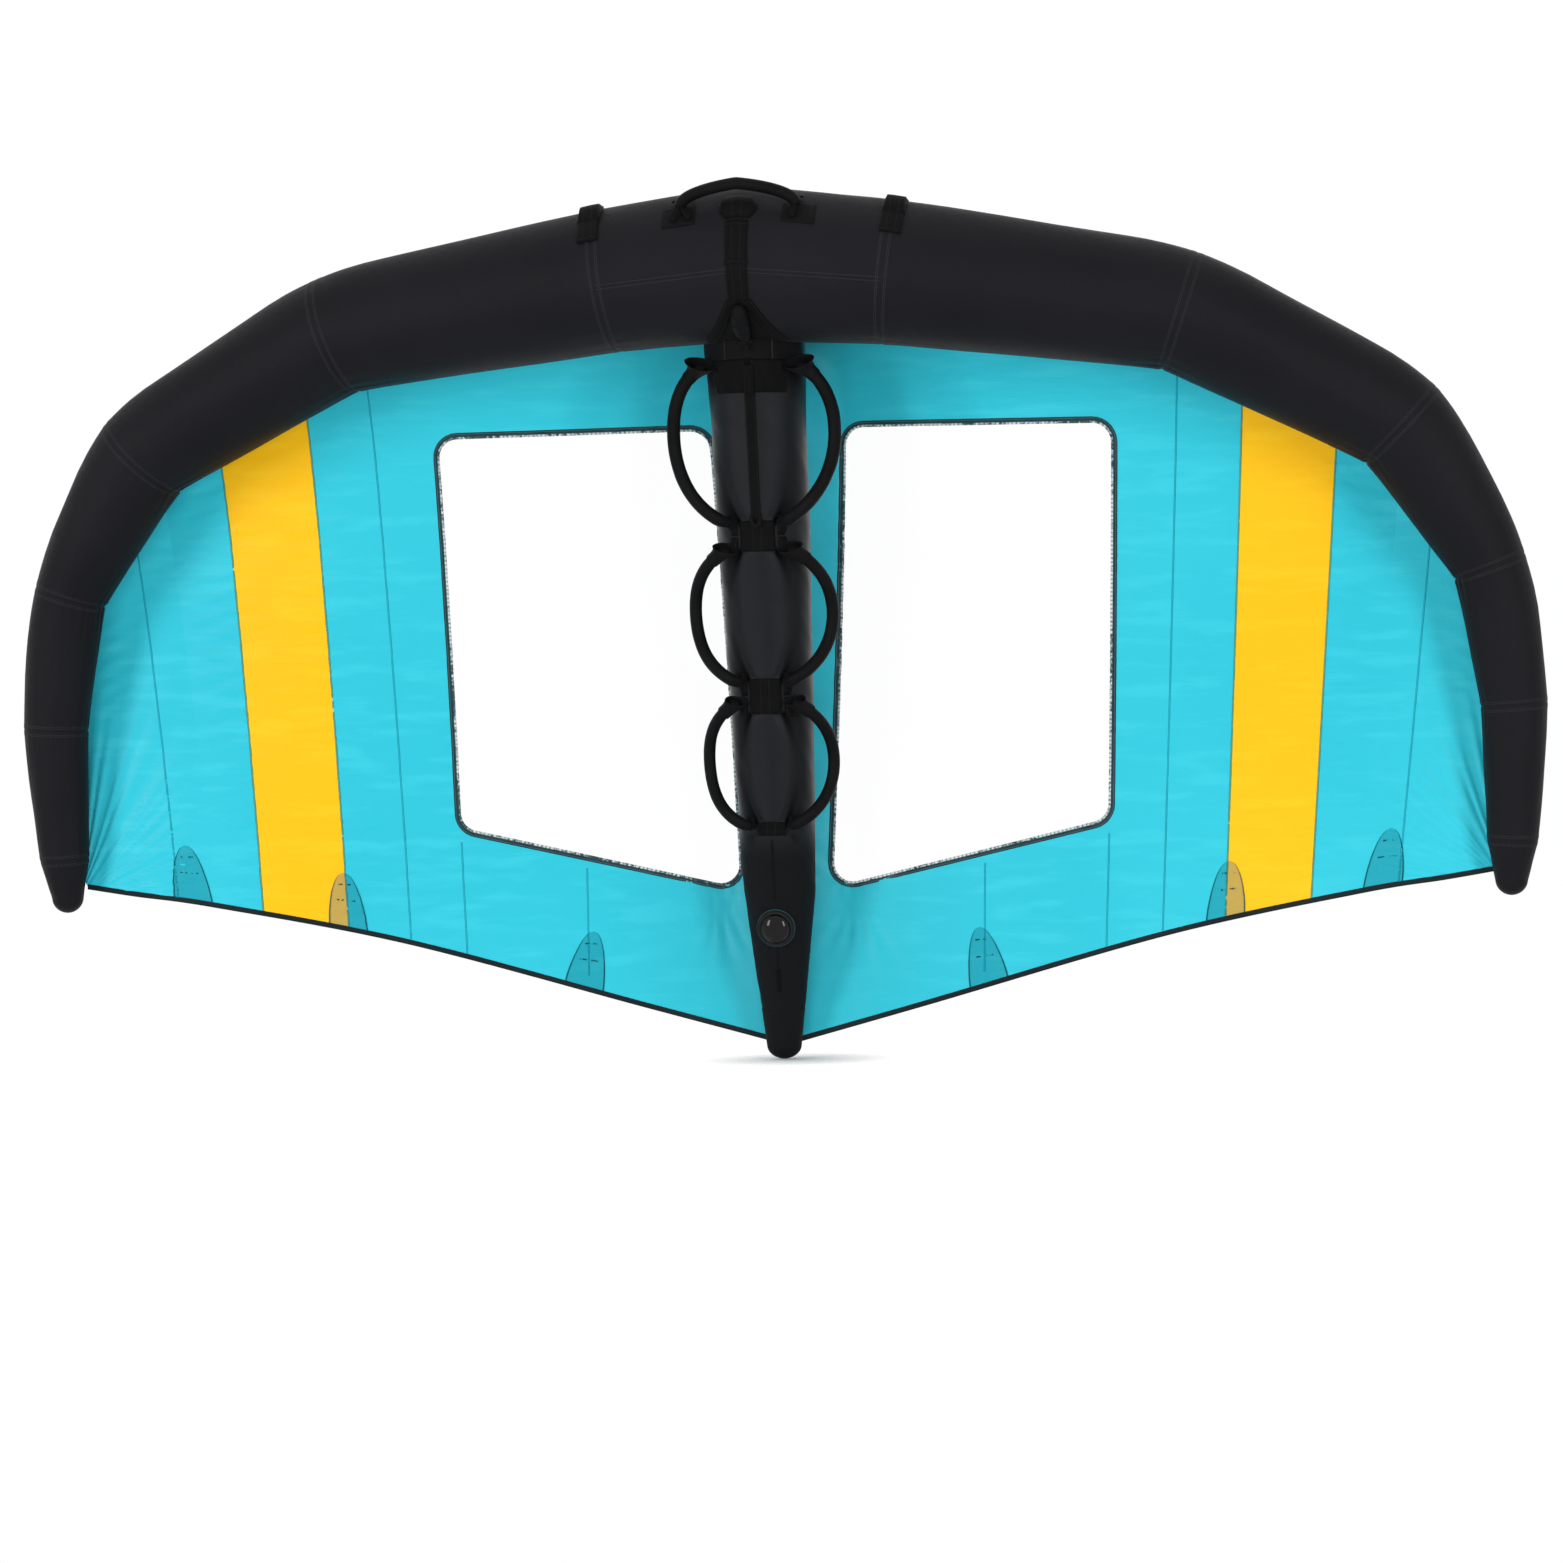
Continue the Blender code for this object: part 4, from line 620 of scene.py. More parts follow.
def bend_relief(place, turn, distance):
    """The rounding of the outer corner where two straight runs of the tube meet."""
    reach = np.abs(place)
    bend = np.interp(np.round(reach), np.arange(8.0), BENDS) * (reach > 0.5)
    outer = np.maximum(np.cos(np.radians(turn - 90)), 0) ** 1.2
    return -bend * outer * np.maximum(0, 1 - distance / 0.130) ** 2, bend / max(BENDS)


def tube_relief(place, turn, distance, seed):
    """How far the cloth stands off the plain cone: rounded bends, gathers, seam overlap, swell."""
    soft, bend = bend_relief(place, turn, distance)
    inner = bell(((turn - 270 + 180) % 360) - 180, 62.0)
    gather = ripple(turn * 0.45 + seed, 3 + seed) * np.exp(-distance / 0.042) \
        * smooth_step(distance / 0.010)
    overlap = 0.0004 * smooth_step((0.0125 - distance) / 0.0015)
    crease = -0.0008 * bell(distance, 0.0016)
    swell = 0.0010 * ripple(turn * 0.05 + place * 4.0, 21)
    return soft + overlap + crease + gather * (0.0003 + 0.0030 * inner * (0.15 + bend)) \
        + swell * smooth_step(distance / 0.1)


def seam_distance(places, far=9.0):
    """Metres along the tube from each station place to the nearest seam; the nose has none."""
    reach = np.abs(places)
    lengths = np.array(LENGTHS)
    k = np.minimum(reach.astype(int), LAST - 1)
    share = reach - k
    from_nose = np.where((k == 0) & (share < 0.5), far, share)
    return np.minimum(from_nose * lengths[k], (1 - share) * lengths[k])


def make_tube(name, places, turn, node, look):
    """One run of the tube's cloth, from seam to seam."""
    reach = np.abs(places)
    gap = seam_distance(places)
    gap[0] = gap[-1] = 0.0
    place, around = grid_of(places, turn)
    distance = np.repeat(gap[:, None], len(turn), 1)
    points = tube_points(place, around, tube_relief(place, around, distance, int(reach.mean())))
    points = np.concatenate([points, points[:, :1]], 1)
    columns = np.append(turn, 360.0)
    radius = np.interp(reach, np.arange(LAST + 1), RADII)
    around = np.radians(np.where(columns > 180, columns - 360, columns))
    uvs = np.stack([np.repeat(gap[:, None], len(columns), 1), radius[:, None] * around], -1)
    weld(add_grid(name, points, look, uvs, replaces=node,
                  flip=places[-1] < places[0]))


def tip(side, sign, turn):
    """The last short cone and the rounded end, gathered where it is sewn shut."""
    length = LENGTHS[-1]
    around = np.radians(turn)
    rows, uvs = [], []
    for share in seam_spacing(length, (0.0, 0.004, 0.008, 0.011, 0.014, 0.02)):
        gap = np.full_like(turn, share * length)
        lift = tube_relief(np.full_like(turn, LAST - 1 + share), turn, gap, 9)
        rows.append(tube_points(sign * min(LAST - 1 + share, LAST - 1e-6), turn, lift))
        uvs.append(np.stack([gap, RADII[-1] * around], -1))
    centre, tangent, radius = CENTRES[LAST], TANGENTS[LAST], RADII[LAST]
    spoke = FRONTS[LAST] * np.cos(around)[:, None] + OUTWARDS[LAST] * np.sin(around)[:, None]
    for step in range(1, 13):
        angle = math.pi / 2 * step / 12
        reach = max(math.cos(angle), 0.03)
        pleat = 1 - 0.05 * (1 - reach) * (0.5 + 0.5 * np.cos(around * 18))
        row = centre + tangent * radius * math.sin(angle) * 0.98 \
            + spoke * (radius * reach * pleat)[:, None]
        row[:, 0] *= sign
        rows.append(row)
        uvs.append(np.stack([np.full_like(turn, length + radius * angle), RADII[-1] * around], -1))
    weld(add_grid(f"tube_tip_{side}", rows, tube_cloth, uvs, replaces=f"le_tip_cap_{side}",
                  closed=True, more=[end_face(len(rows) - 1, len(turn))]))


def leading_edge():
    turn = np.linspace(0, 360, 128, endpoint=False)
    for side, sign in SIDES:
        for k in range(1, LAST - 1):
            make_tube(f"tube_{side}_{k}", sign * (k + seam_spacing(LENGTHS[k])), turn,
                      f"le_panel_{side}_{k}", tube_cloth)
        tip(side, sign, turn)
    make_tube("tube_centre", seam_spacing(LENGTHS[0] * 2) * 2 - 1, turn, "le_panel_centre",
              tube_centre_cloth)


leading_edge()

# Strut
BANDS = ((1.074, 1.139), (0.734, 0.810), (0.478, 0.507))
# TAIL_SHADE is the painted shade over the strut's foot and tail.
VALVE_Z, BACK_SUNK, TAIL_SHADE = 0.282, 0.0032, 0.62


def side_of(turn):
    """Degrees from the strut's front, the same on both sides."""
    return np.abs(((turn + 180) % 360) - 180)


def band_ends(z, number, early, soft, reach, faint):
    """For both ends of a band: metres past it, whether past it, a crease's strength and its turn."""
    low, high = BANDS[number]
    for edge, way in ((high, 1), (low, -1)):
        away = np.maximum((z - edge) * way, 0)
        near = smooth_step(((z - edge) * way + early) / soft)
        fade = near * np.exp(-away / reach) * (faint if number == 2 and way < 0 else 1.0)
        yield away, near, fade, 25.0 + 26 * (1 - np.exp(-away / 0.075))


def strut_relief(z, turn):
    """Creases that fan out above and below the ends of each band and bow out between the bands."""
    z, turn = spread(z, turn)
    lift = np.zeros(z.shape)
    side = side_of(turn)
    for number, (low, high) in enumerate(BANDS):
        inside = smooth_step((z - low + 0.004) / 0.006) * smooth_step((high + 0.004 - z) / 0.006)
        lift -= 0.0050 * inside * bell(side - 24.6, 1.5)
        for away, near, fade, line in band_ends(z, number, 0.006, 0.008, 0.045, 0.25):
            lift -= 0.0090 * fade * bell(side - line, 2.8 + 60 * away)
            lift -= 0.0022 * fade * bell(side - line + 9, 4.0)
            lift += 0.0016 * fade * bell(side, 14.0)
    lift += 0.0010 * ripple(z * 30 + turn * 0.05, 5) * bell(side - 60, 40)
    return lift - BACK_SUNK * bell(side - 180, 22) * smooth_step((0.60 - z) / 0.15)


def strut_painted_shade(z, turn):
    """From 0 to 1: painted shade on the strut's cloth, deep in its creases by the bands, below the
    collar and towards its foot.
    """
    z, turn = spread(z, turn)
    dark = np.zeros(z.shape)
    side = side_of(turn)
    for number in range(len(BANDS)):
        # Painted shade in the creases that fan out from the band ends.
        for away, near, fade, line in band_ends(z, number, 0.012, 0.012, 0.085, 0.3):
            dark = np.maximum(dark, fade * bell(side - line - 2.0, 6.0 + 80 * away))
            dark = np.maximum(dark, 0.65 * near * np.exp(-away / 0.10) * smooth_step((side - line) / 5)
                              * bell(side - line, 26))
    # Painted shadow below the collar.
    shadow_below_collar = smooth_step((1.50 - z) / 0.03) * smooth_step((z - 1.36) / 0.08)
    dark = np.maximum(dark, 0.8 * shadow_below_collar * smooth_step((side - 42) / 10) * bell(side - 55, 22))
    # Painted shade towards the strut's foot.
    dark = np.maximum(dark, TAIL_SHADE * smooth_step((0.52 - z) / 0.10))
    return np.clip(dark, 0, 1)


# Stores painted shade per point as the mesh's shade attribute.
def shade_by(made, values):
    layer = made.data.attributes.new("shade", "FLOAT", "POINT")
    layer.data.foreach_set("value", values.ravel().astype(np.float32))


def strut():
    turn = np.linspace(-180, 180, 181)
    z, t = grid_of(np.linspace(0.108, 1.590, 330), turn)
    across = np.radians(t) * 0.079
    valve_gap = np.hypot(z - VALVE_Z, across)
    pucker = 0.0016 * np.sin(np.arctan2(z - VALVE_Z, across) * 14) \
        * np.exp(-np.maximum(valve_gap - 0.036, 0) / 0.02) * smooth_step((0.11 - valve_gap) / 0.05)
    points = strut_points(z, t, strut_relief(z, t) + pucker - 0.0006 * bell(z - 0.112, 0.004))
    made = add_grid("strut_tube", points, strut_cloth, np.stack([np.radians(t) * 0.09, z], -1),
                    replaces="strut_sleeve")
    # The sleeve's painted shade.
    shade_by(made, strut_painted_shade(z, t))
    cut_by_tube(made)
    low, y, radius = STRUT_Z[-1], STRUT_Y[-1], STRUT_R[-1]
    rows = []
    for height in np.linspace(0.1078, low, 14):
        hidden = BACK_SUNK * bell(np.abs(turn) - 180, 22) * smooth_step((height - low) / 0.02)
        rows.append(strut_points(height, turn, 0.0002 * ripple(turn * 0.2, 4) - hidden))
    around = np.radians(turn)
    for step in range(1, 13):
        angle = math.pi / 2 * step / 12
        reach = radius * max(math.cos(angle), 0.03)
        pleat = 1 - 0.03 * (1 - math.cos(angle)) * (0.5 + 0.5 * np.cos(around * 16))
        rows.append(np.stack([reach * pleat * np.sin(around), y - reach * pleat * np.cos(around),
                              np.full_like(turn, low - low * math.sin(angle) * 0.998)], -1))
    count = len(turn)
    made = add_grid("strut_tail", rows, strut_cloth, replaces="strut_tail_cap",
                    more=[end_face(len(rows) - 1, count, count - 1)])
    # The tail carries the same painted shade as the strut's foot.
    shade_by(made, np.full(len(made.data.vertices), TAIL_SHADE))
    weld(made)


def cut_by_tube(obj):
    """Trims the strut's top where it meets the leading edge."""
    centre_y, centre_z = AXIS[0][1], AXIS[0][2]
    drop = (AXIS[1][2] - AXIS[0][2]) / AXIS[1][0]
    shrink = (RADII[1] - RADII[0]) / AXIS[1][0]
    with editing(obj) as shape:
        for vertex in shape.verts:
            x, y, z = vertex.co
            radius = RADII[0] + shrink * abs(x) + 0.0006
            middle = centre_z + drop * abs(x)
            if abs(y - centre_y) < radius and z > middle - radius:
                vertex.co.z = min(z, middle - math.sqrt(radius ** 2 - (y - centre_y) ** 2))
        bmesh.ops.remove_doubles(shape, verts=shape.verts, dist=WELD)


strut()


def bladder(name, points, node):
    rows, columns = points.shape[:2]
    weld(add_grid(name, points, bladder_film, replaces=node, closed=True,
                  more=[end_face(0, columns), end_face(rows - 1, columns)]))


def bladders():
    """The air bladders just inside the cloth, following its creases."""
    places = np.concatenate([np.linspace(-6.98, -1, 60), np.linspace(-0.9, 0.9, 15),
                             np.linspace(1, 6.98, 60)])
    place, around = grid_of(places, np.linspace(0, 360, 48, endpoint=False))
    distance = np.repeat(seam_distance(places)[:, None], around.shape[1], 1)
    bladder("bladder_of_leading_edge",
            tube_points(place, around, bend_relief(place, around, distance)[0] - 0.008), "le_bladder")
    z, around = grid_of(np.linspace(0.030, 1.478, 260), np.linspace(-180, 180, 97)[:-1])
    bladder("bladder_of_strut", strut_points(z, around, strut_relief(z, around) - 0.007),
            "strut_bladder")


bladders()

# Canopy
BAND_IN, BAND_OUT, TIP_SEAM, TIP_END = 2.27, 2.70, 3.0, 6.0
WINDOW_CORNER = 0.047


def canopy_wrinkles(place, share):
    """Small relief of the stretched cloth: fans at the tips, strut and window corners, ruffled hem."""
    point = canopy_points(place, share)
    x, z = point[..., 0], point[..., 2]
    reach, across = np.abs(place), np.abs(x)
    edge = smooth_step(share / 0.03) * smooth_step((1 - share) / 0.02)
    patch = np.clip(ripple(x * 7 + z * 2, 12, 3) + 0.15 * ripple(z * 9, 9, 2), 0, 1)
    broad = 0.0012 * ripple(z * 30 + 1.4 * x, 11)
    fine = 0.0012 * ripple(z * 165 + 12 * x, 13) * patch
    beside = 0.0015 * ripple(z * 150 + across * 40, 17) \
        * (bell(reach - 2.2, 0.22) + bell(reach - 2.78, 0.16))
    tip_x, tip_z = 1.53, 0.36
    fan = np.arctan2(z - tip_z, across - tip_x)
    away = np.hypot(z - tip_z, across - tip_x)
    tip_fan = 0.0024 * np.tanh(1.6 * np.sin(fan * 52 + 2.5 * ripple(fan * 11, 4))) \
        * bell(away - 0.20, 0.19) * smooth_step((reach - 2.9) / 0.5)
    upper = 0.0018 * np.sin((z + 0.55 * across) * 150) * bell(reach - 4.1, 0.5) \
        * bell(share - 0.2, 0.25)
    window_x, window_z = 0.150, 0.345
    corner = np.arctan2(z - window_z, across - window_x)
    near = np.hypot(z - window_z, across - window_x)
    fold = 0.0022 * np.sin(corner * 17) * bell(near - 0.07, 0.07)
    strut_fan = 0.0030 * np.sin((z + 0.8 * across) * 105 + 2 * ripple(z * 9, 6)) \
        * bell(across - 0.120, 0.040) * bell(z - 1.05, 0.42)
    flutter = 0.0018 * ripple(x * 26 + z * 12, 15) * bell(1 - share, 0.06)
    return (broad + fine + beside + tip_fan + upper + fold + strut_fan + flutter) * edge


def canopy_grid(places, shares, lift=0.0005, relief=1.0):
    place, share = grid_of(places, shares)
    return canopy_points(place, share, lift + relief * canopy_wrinkles(place, share))


def window_corners(grow=0.0):
    """Corners of the right window, inner top first, as x and z."""
    inner, outer_top, outer_low = 0.142, 0.731, 0.706
    return [(inner - grow, 1.350 + grow), (outer_top + grow, 1.342 + grow),
            (outer_low + grow, 0.495 - grow), (0.093 - grow, 0.354 - grow)]


def rounded(corners, radius, steps=7):
    """An outline with its corners rounded."""
    points = []
    for i, corner in enumerate(corners):
        corner = Vector(corner)
        before = (Vector(corners[i - 1]) - corner).normalized()
        after = (Vector(corners[(i + 1) % len(corners)]) - corner).normalized()
        half = before.angle(after) / 2
        centre = corner + (before + after).normalized() * radius / math.sin(half)
        start = corner + before * radius / math.tan(half) - centre
        sweep = (math.pi - 2 * half) * (-1 if before.cross(after) < 0 else 1)
        for step in range(steps + 1):
            points.append(tuple(centre + Matrix.Rotation(-sweep * step / steps, 2) @ start))
    return points

def window_outline(sign, grow, radius):
    """The rounded outline of one window, as x and z."""
    return rounded([(x * sign, z) for x, z in window_corners(grow)], radius)


def cut_outline(obj, outline, keep_inside, margin=0.03):
    """Cuts a sheet along a convex outline of (x, z) and keeps one side of it."""
    corners = [Vector((x, 0, z)) for x, z in outline]
    middle = sum(corners, Vector()) / len(corners)
    planes = []
    with editing(obj) as shape:
        for a, b in zip(corners, corners[1:] + corners[:1]):
            span = b - a
            if span.length < 1e-6:
                continue
            along = span.normalized()
            normal = Vector((along.z, 0, -along.x))
            if normal.dot(middle - a) > 0:
                normal = -normal
            planes.append((a, normal))
            near = []
            for face in shape.faces:
                c = face.calc_center_median() - a
                if -margin < along.dot(c) < span.length + margin and abs(normal.dot(c)) < margin:
                    near.append(face)
            geometry = near + list({e for f in near for e in f.edges}) \
                + list({v for f in near for v in f.verts})
            bmesh.ops.bisect_plane(shape, geom=geometry, dist=1e-6, plane_co=a, plane_no=normal)
        doomed = []
        for face in shape.faces:
            c = face.calc_center_median()
            if all(normal.dot(c - a) < 1e-7 for a, normal in planes) != keep_inside:
                doomed.append(face)
        bmesh.ops.delete(shape, geom=doomed, context="FACES")


def cut_area(node):
    """The area a cloth is cut to: half the surface of its thin CAD solid."""
    return sum(polygon.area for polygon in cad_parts[node].data.polygons) / 2


def cut_extent(node):
    """Width and length of the rectangle that holds a cloth's CAD solid, seen square on."""
    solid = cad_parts[node]
    points = np.array([solid.matrix_world @ vertex.co for vertex in solid.data.vertices])
    points -= points.mean(0)
    spans = np.ptp(points @ np.linalg.svd(points, full_matrices=False)[2].T, axis=0)
    return float(spans[1]), float(spans[0])


def canopy():
    shares = np.concatenate([np.linspace(0, 0.03, 4)[:-1], np.linspace(0.03, 0.97, 118),
                             np.linspace(0.97, 1, 5)[1:]])
    cloths = [("centre", -BAND_IN, BAND_IN, 160, turquoise, "turquoise_cloth")]
    for part, near, far, count, look, slot in (
        ("band", BAND_IN, BAND_OUT, 16, yellow, "yellow_cloth"),
        ("inner_tip", BAND_OUT, TIP_SEAM, 12, turquoise, "turquoise_cloth"),
        ("outer_tip", TIP_SEAM, TIP_END, 40, turquoise, "turquoise_cloth"),
    ):
        for side, sign in SIDES:
            cloths.append((f"{part}_{side}", *sorted((sign * near, sign * far)), count, look, slot))
    for name, start, end, count, look, slot in cloths:
        node = f"canopy_{name}"
        flat, area = cut_extent(node), cut_area(node)
        points = canopy_grid(np.linspace(start, end, count + 1), shares)
        made = add_grid(f"cloth_{name}", points, look, replaces=node)
        if name == "centre":
            for side, sign in SIDES:
                cut_outline(made, window_outline(sign, -0.001, WINDOW_CORNER), False)
    for side, sign in SIDES:
        node = f"window_{side}"
        flat, area = cut_extent(node), cut_area(node)
        points = canopy_grid(np.linspace(sign * 0.2, sign * 2.1, 60), shares, 0.0003, 0.6)
        film = add_grid(f"window_film_{side}", points, clear_film, replaces=node)
        cut_outline(film, window_outline(sign, 0.003, 0.050), True)


canopy()


def surface_from_xz(x, z):
    """Place and share of the canopy point in front of (x, z), found by Newton steps."""
    x, z = np.asarray(x, float), np.asarray(z, float)
    sign = np.where(x < 0, -1, 1)
    place = np.interp(np.abs(x), HALF_SPAN * STATIONS[:7, 0], np.arange(7.0))
    share = np.full_like(place, 0.5)
    for _ in range(12):
        base = canopy_points(np.maximum(place, 1e-6), share)
        step = 1e-4
        dp = (canopy_points(np.maximum(place, 1e-6) + step, share) - base) / step
        ds = (canopy_points(np.maximum(place, 1e-6), share + step) - base) / step
        ex, ez = np.abs(x) - base[..., 0], z - base[..., 2]
        det = dp[..., 0] * ds[..., 2] - dp[..., 2] * ds[..., 0]
        det = np.where(np.abs(det) < 1e-9, 1e-9, det)
        place = np.clip(place + (ex * ds[..., 2] - ez * ds[..., 0]) / det, 0.0, TIP_END)
        share = np.clip(share + (dp[..., 0] * ez - dp[..., 2] * ex) / det, -0.02, 1.02)
    return place * sign, share


def on_canopy(x, z, lift):
    place, share = surface_from_xz(x, z)
    return canopy_points(place, share, lift + 0.0005 + canopy_wrinkles(place, share))


def strip(name, centre, half, lift, look, closed=False, replaces="", rise=0.0006):
    """A flat tape along a line of (x, z) on the canopy, standing proud of both edges."""
    centre = np.asarray(centre, float)
    if closed:
        ahead, behind = np.roll(centre, -1, 0), np.roll(centre, 1, 0)
    else:
        ahead = np.concatenate([centre[1:], centre[-1:]])
        behind = np.concatenate([centre[:1], centre[:-1]])
    direction = unit_rows(ahead - behind)
    normal = np.stack([direction[:, 1], -direction[:, 0]], -1)
    along = run_length(centre)
    rows, uvs = [], []
    for across, off in ((-1, 0.0), (-0.9, rise), (0, rise * 1.25), (0.9, rise), (1, 0.0)):
        spot = centre + normal * half * across
        rows.append(on_canopy(spot[:, 0], spot[:, 1], lift - off))
        uvs.append(np.stack([np.full(len(centre), half * across), along], -1))
    last, width = len(centre) - 1, len(rows)
    joined = [(last * width + c, last * width + c + 1, c + 1, c) for c in range(width - 1)]
    return add_grid(name, np.array(rows).transpose(1, 0, 2), look, np.array(uvs).transpose(1, 0, 2),
                    replaces=replaces, more=joined if closed else ())


def dense(points, spacing):
    """A closed outline with more points, about a spacing apart."""
    out = []
    for a, b in zip(points, points[1:] + points[:1]):
        count = max(1, int(math.hypot(b[0] - a[0], b[1] - a[1]) / spacing))
        out += between(a, b, count)[:-1]
    return out


def between(start, end, count=16):
    """A straight line of (x, z) in a count of steps."""
    return [(start[0] + (end[0] - start[0]) * i / count, start[1] + (end[1] - start[1]) * i / count)
            for i in range(count + 1)]


def chord_line(place, count=110):
    """A line down the canopy at one station, as x and z."""
    points = canopy_points(np.full(count, float(place)), np.linspace(0.01, 0.992, count))
    return points[:, [0, 2]]


for side, sign in SIDES:
    strip(f"window_tape_{side}", dense(window_outline(sign, 0.0, WINDOW_CORNER), 0.012), 0.0062,
          -0.0006, binding_tape, closed=True, replaces=f"window_binding_{side}")
for side, sign in SIDES:
    for part, line, look in (
        ("band_in", chord_line(sign * BAND_IN), seam_dark),
        ("band_out", chord_line(sign * BAND_OUT), seam_dark),
        ("tip", chord_line(sign * 3.35), seam_turquoise),
        ("side", chord_line(sign * 1.98), seam_turquoise),
        ("low_in", between((sign * 0.431, 0.410), (sign * 0.428, 0.180)), seam_turquoise),
        ("low_out", between((sign * 0.700, 0.470), (sign * 0.690, 0.220)), seam_turquoise),
    ):
        half, slot = (0.0019, "binding_tape") if look == seam_dark else (0.0018, "turquoise_cloth")
        strip(f"seam_{part}_{side}", line, half, -0.0003, look)


# Detail on the leading edge and the strut
def on_strut(turn, z, lift):
    return strut_points(z, turn, lift + strut_relief(z, turn))


def on_nose(x, turn, lift):
    return nose_points(x, turn, lift + 0.0012)


# Metres in a unit of each surface's two places, for the stitches
METRES = {on_strut: (0.0018, 1.0), on_nose: (1.0, 0.0028)}


def surface_patch(name, surface, u_range, v_range, look, lift, counts, round_share, replaces="",
                  scale=None, cushion=0.0, shape=None, slot="webbing", tuck=-0.0006):
    """A cloth patch on a surface(u, v, lift): proud in the middle, its border tucked down.

    u_range may be two functions of v from 0 to 1; scale turns u and v into metres for the stitches."""
    def steps(count):
        """Even shares, with one more beside each end."""
        inner = np.linspace(0, 1, count)[1:-1] * (1 - 2 * round_share) + round_share
        return np.concatenate([[0.0, round_share * 0.25], inner, [1 - round_share * 0.25, 1.0]])

    share_u, share_v = grid_of(steps(counts[0]), steps(counts[1]))
    left, right = (side(share_v) if callable(side) else side for side in u_range)
    u = left + (right - left) * share_u
    v = v_range[0] + (v_range[1] - v_range[0]) * share_v
    rim = np.minimum(np.minimum(share_u, 1 - share_u), np.minimum(share_v, 1 - share_v)) / round_share
    height = tuck + (lift - tuck) * smooth_step(rim * 3) \
        + cushion * np.sin(np.pi * share_u) ** 0.6 * np.sin(np.pi * share_v) ** 0.6
    if shape:
        height = height + shape(share_u, share_v) * smooth_step(rim)
    scale = scale or METRES[surface]
    uvs = np.stack([(u - (left + right) / 2) * scale[0], (v - v_range[0]) * scale[1]], -1)
    return add_grid(name, surface(u, v, height), look, uvs, replaces=replaces)


def sweep(name, path, wide, thick, out, look, sides=28, body=WING, replaces="", slot="", twist=None,
          ends=True):
    """A tube along a path: wide across, thick along the outward direction."""
    path, out = np.asarray(path, float), np.asarray(out, float)
    count = len(path)
    wide, thick = np.broadcast_to(wide, count), np.broadcast_to(thick, count)
    tangent = unit_rows(np.gradient(path, axis=0))
    out = np.broadcast_to(out, path.shape)
    out = unit_rows(out - tangent * (out * tangent).sum(1)[:, None])
    cross = np.cross(tangent, out)
    angle = np.linspace(0, 2 * math.pi, sides + 1)
    along = run_length(path)
    relief = twist(along, angle) if twist else np.ones((count, sides + 1))
    rings = path[:, None] + cross[:, None] * (wide[:, None] * np.cos(angle) * relief)[..., None] \
        + out[:, None] * (thick[:, None] * np.sin(angle) * relief)[..., None]
    around = wide[:, None] * (angle[None] - math.pi * 1.5)
    uvs = np.stack(np.broadcast_arrays(around, along[:, None]), -1)
    caps = [end_face(0, sides + 1, sides), end_face(count - 1, sides + 1, sides)[::-1]] if ends else ()
    made = add_grid(name, rings, look, uvs, body, replaces, flip=True, more=caps)
    weld(made)
    return made


def blend_path(points, count):
    """A smooth line through a few points."""
    points = np.asarray(points, float)
    step = run_length(points)
    at = np.linspace(0, step[-1], count)
    line = np.stack([np.interp(at, step, points[:, i]) for i in range(3)], -1)
    for _ in range(count // 8):
        line[1:-1] = (line[:-2] + 2 * line[1:-1] + line[2:]) / 4
    return line


for side, sign in SIDES:
    outline = window_outline(sign, -0.0050, 0.042)
    line = np.array(dense(outline, 0.006) + outline[:1])
    sweep(f"window_piping_{side}", on_canopy(line[:, 0], line[:, 1], -0.0016), 0.0025, 0.0016,
          (0, -1, 0), piping_material, sides=10, slot="binding_tape", ends=False)

# Grips of the strut, by pair from the top
HANDLE_Z = ((1.462, 1.132), (1.080, 0.800), (0.760, 0.498))
HANDLE_STAND, HANDLE_TOP_TURN, HANDLE_BULGE = (0.085, 0.062, 0.054), (58, 38, 38), (24, 38, 41)
GRIP_RADIUS, REST = 0.0138, 0.0074

# Cuffs: length, half width and half depth of the mouth, and its middle's place beside the grip's top
CUFFS = ((0.026, 0.0335, 0.0165, -0.004, -0.022), (0.021, 0.0255, 0.0130, -0.004, -0.012),
         (0.018, 0.0225, 0.0115, -0.003, -0.010))
CUFF_NECK = 0.0140

# Rings of a cuff from its neck out to the mouth and back in: height, spread and wall
CUFF_RINGS = ((-0.25, 0.0, 0.0010), (0.0, 0.0, 0.0014), (0.2, 0.08, 0.0014), (0.45, 0.30, 0.0014),
              (0.7, 0.64, 0.0014), (0.9, 0.92, 0.0016), (1.0, 1.0, 0.0022), (1.02, 1.0, 0.0010),
              (1.0, 0.99, -0.0004), (0.86, 0.84, -0.0010), (0.6, 0.42, -0.0014), (0.35, 0.12, -0.0014))
CUFF_LINED_FROM = 8


def handle_path(pair, count=110):
    """The middle line of a grip, its foot on the strut, and shares along it."""
    top, low = HANDLE_Z[pair]
    edge = 23 + math.degrees(REST / strut_at(low)[1])
    share = np.linspace(0, 1, count)
    swing = np.sin(np.pi * share)
    z = top + (low - top) * (share * 0.6 + 0.4 * (1 - np.cos(np.pi * share)) / 2)
    turn = HANDLE_TOP_TURN[pair] + (edge - HANDLE_TOP_TURN[pair]) * share + HANDLE_BULGE[pair] * swing
    lift = REST + (HANDLE_STAND[pair] - REST) * swing ** (0.52 + 0.14 * np.cos(np.pi * share))
    return strut_points(z, turn, lift), strut_points(z, turn, 0.0), share


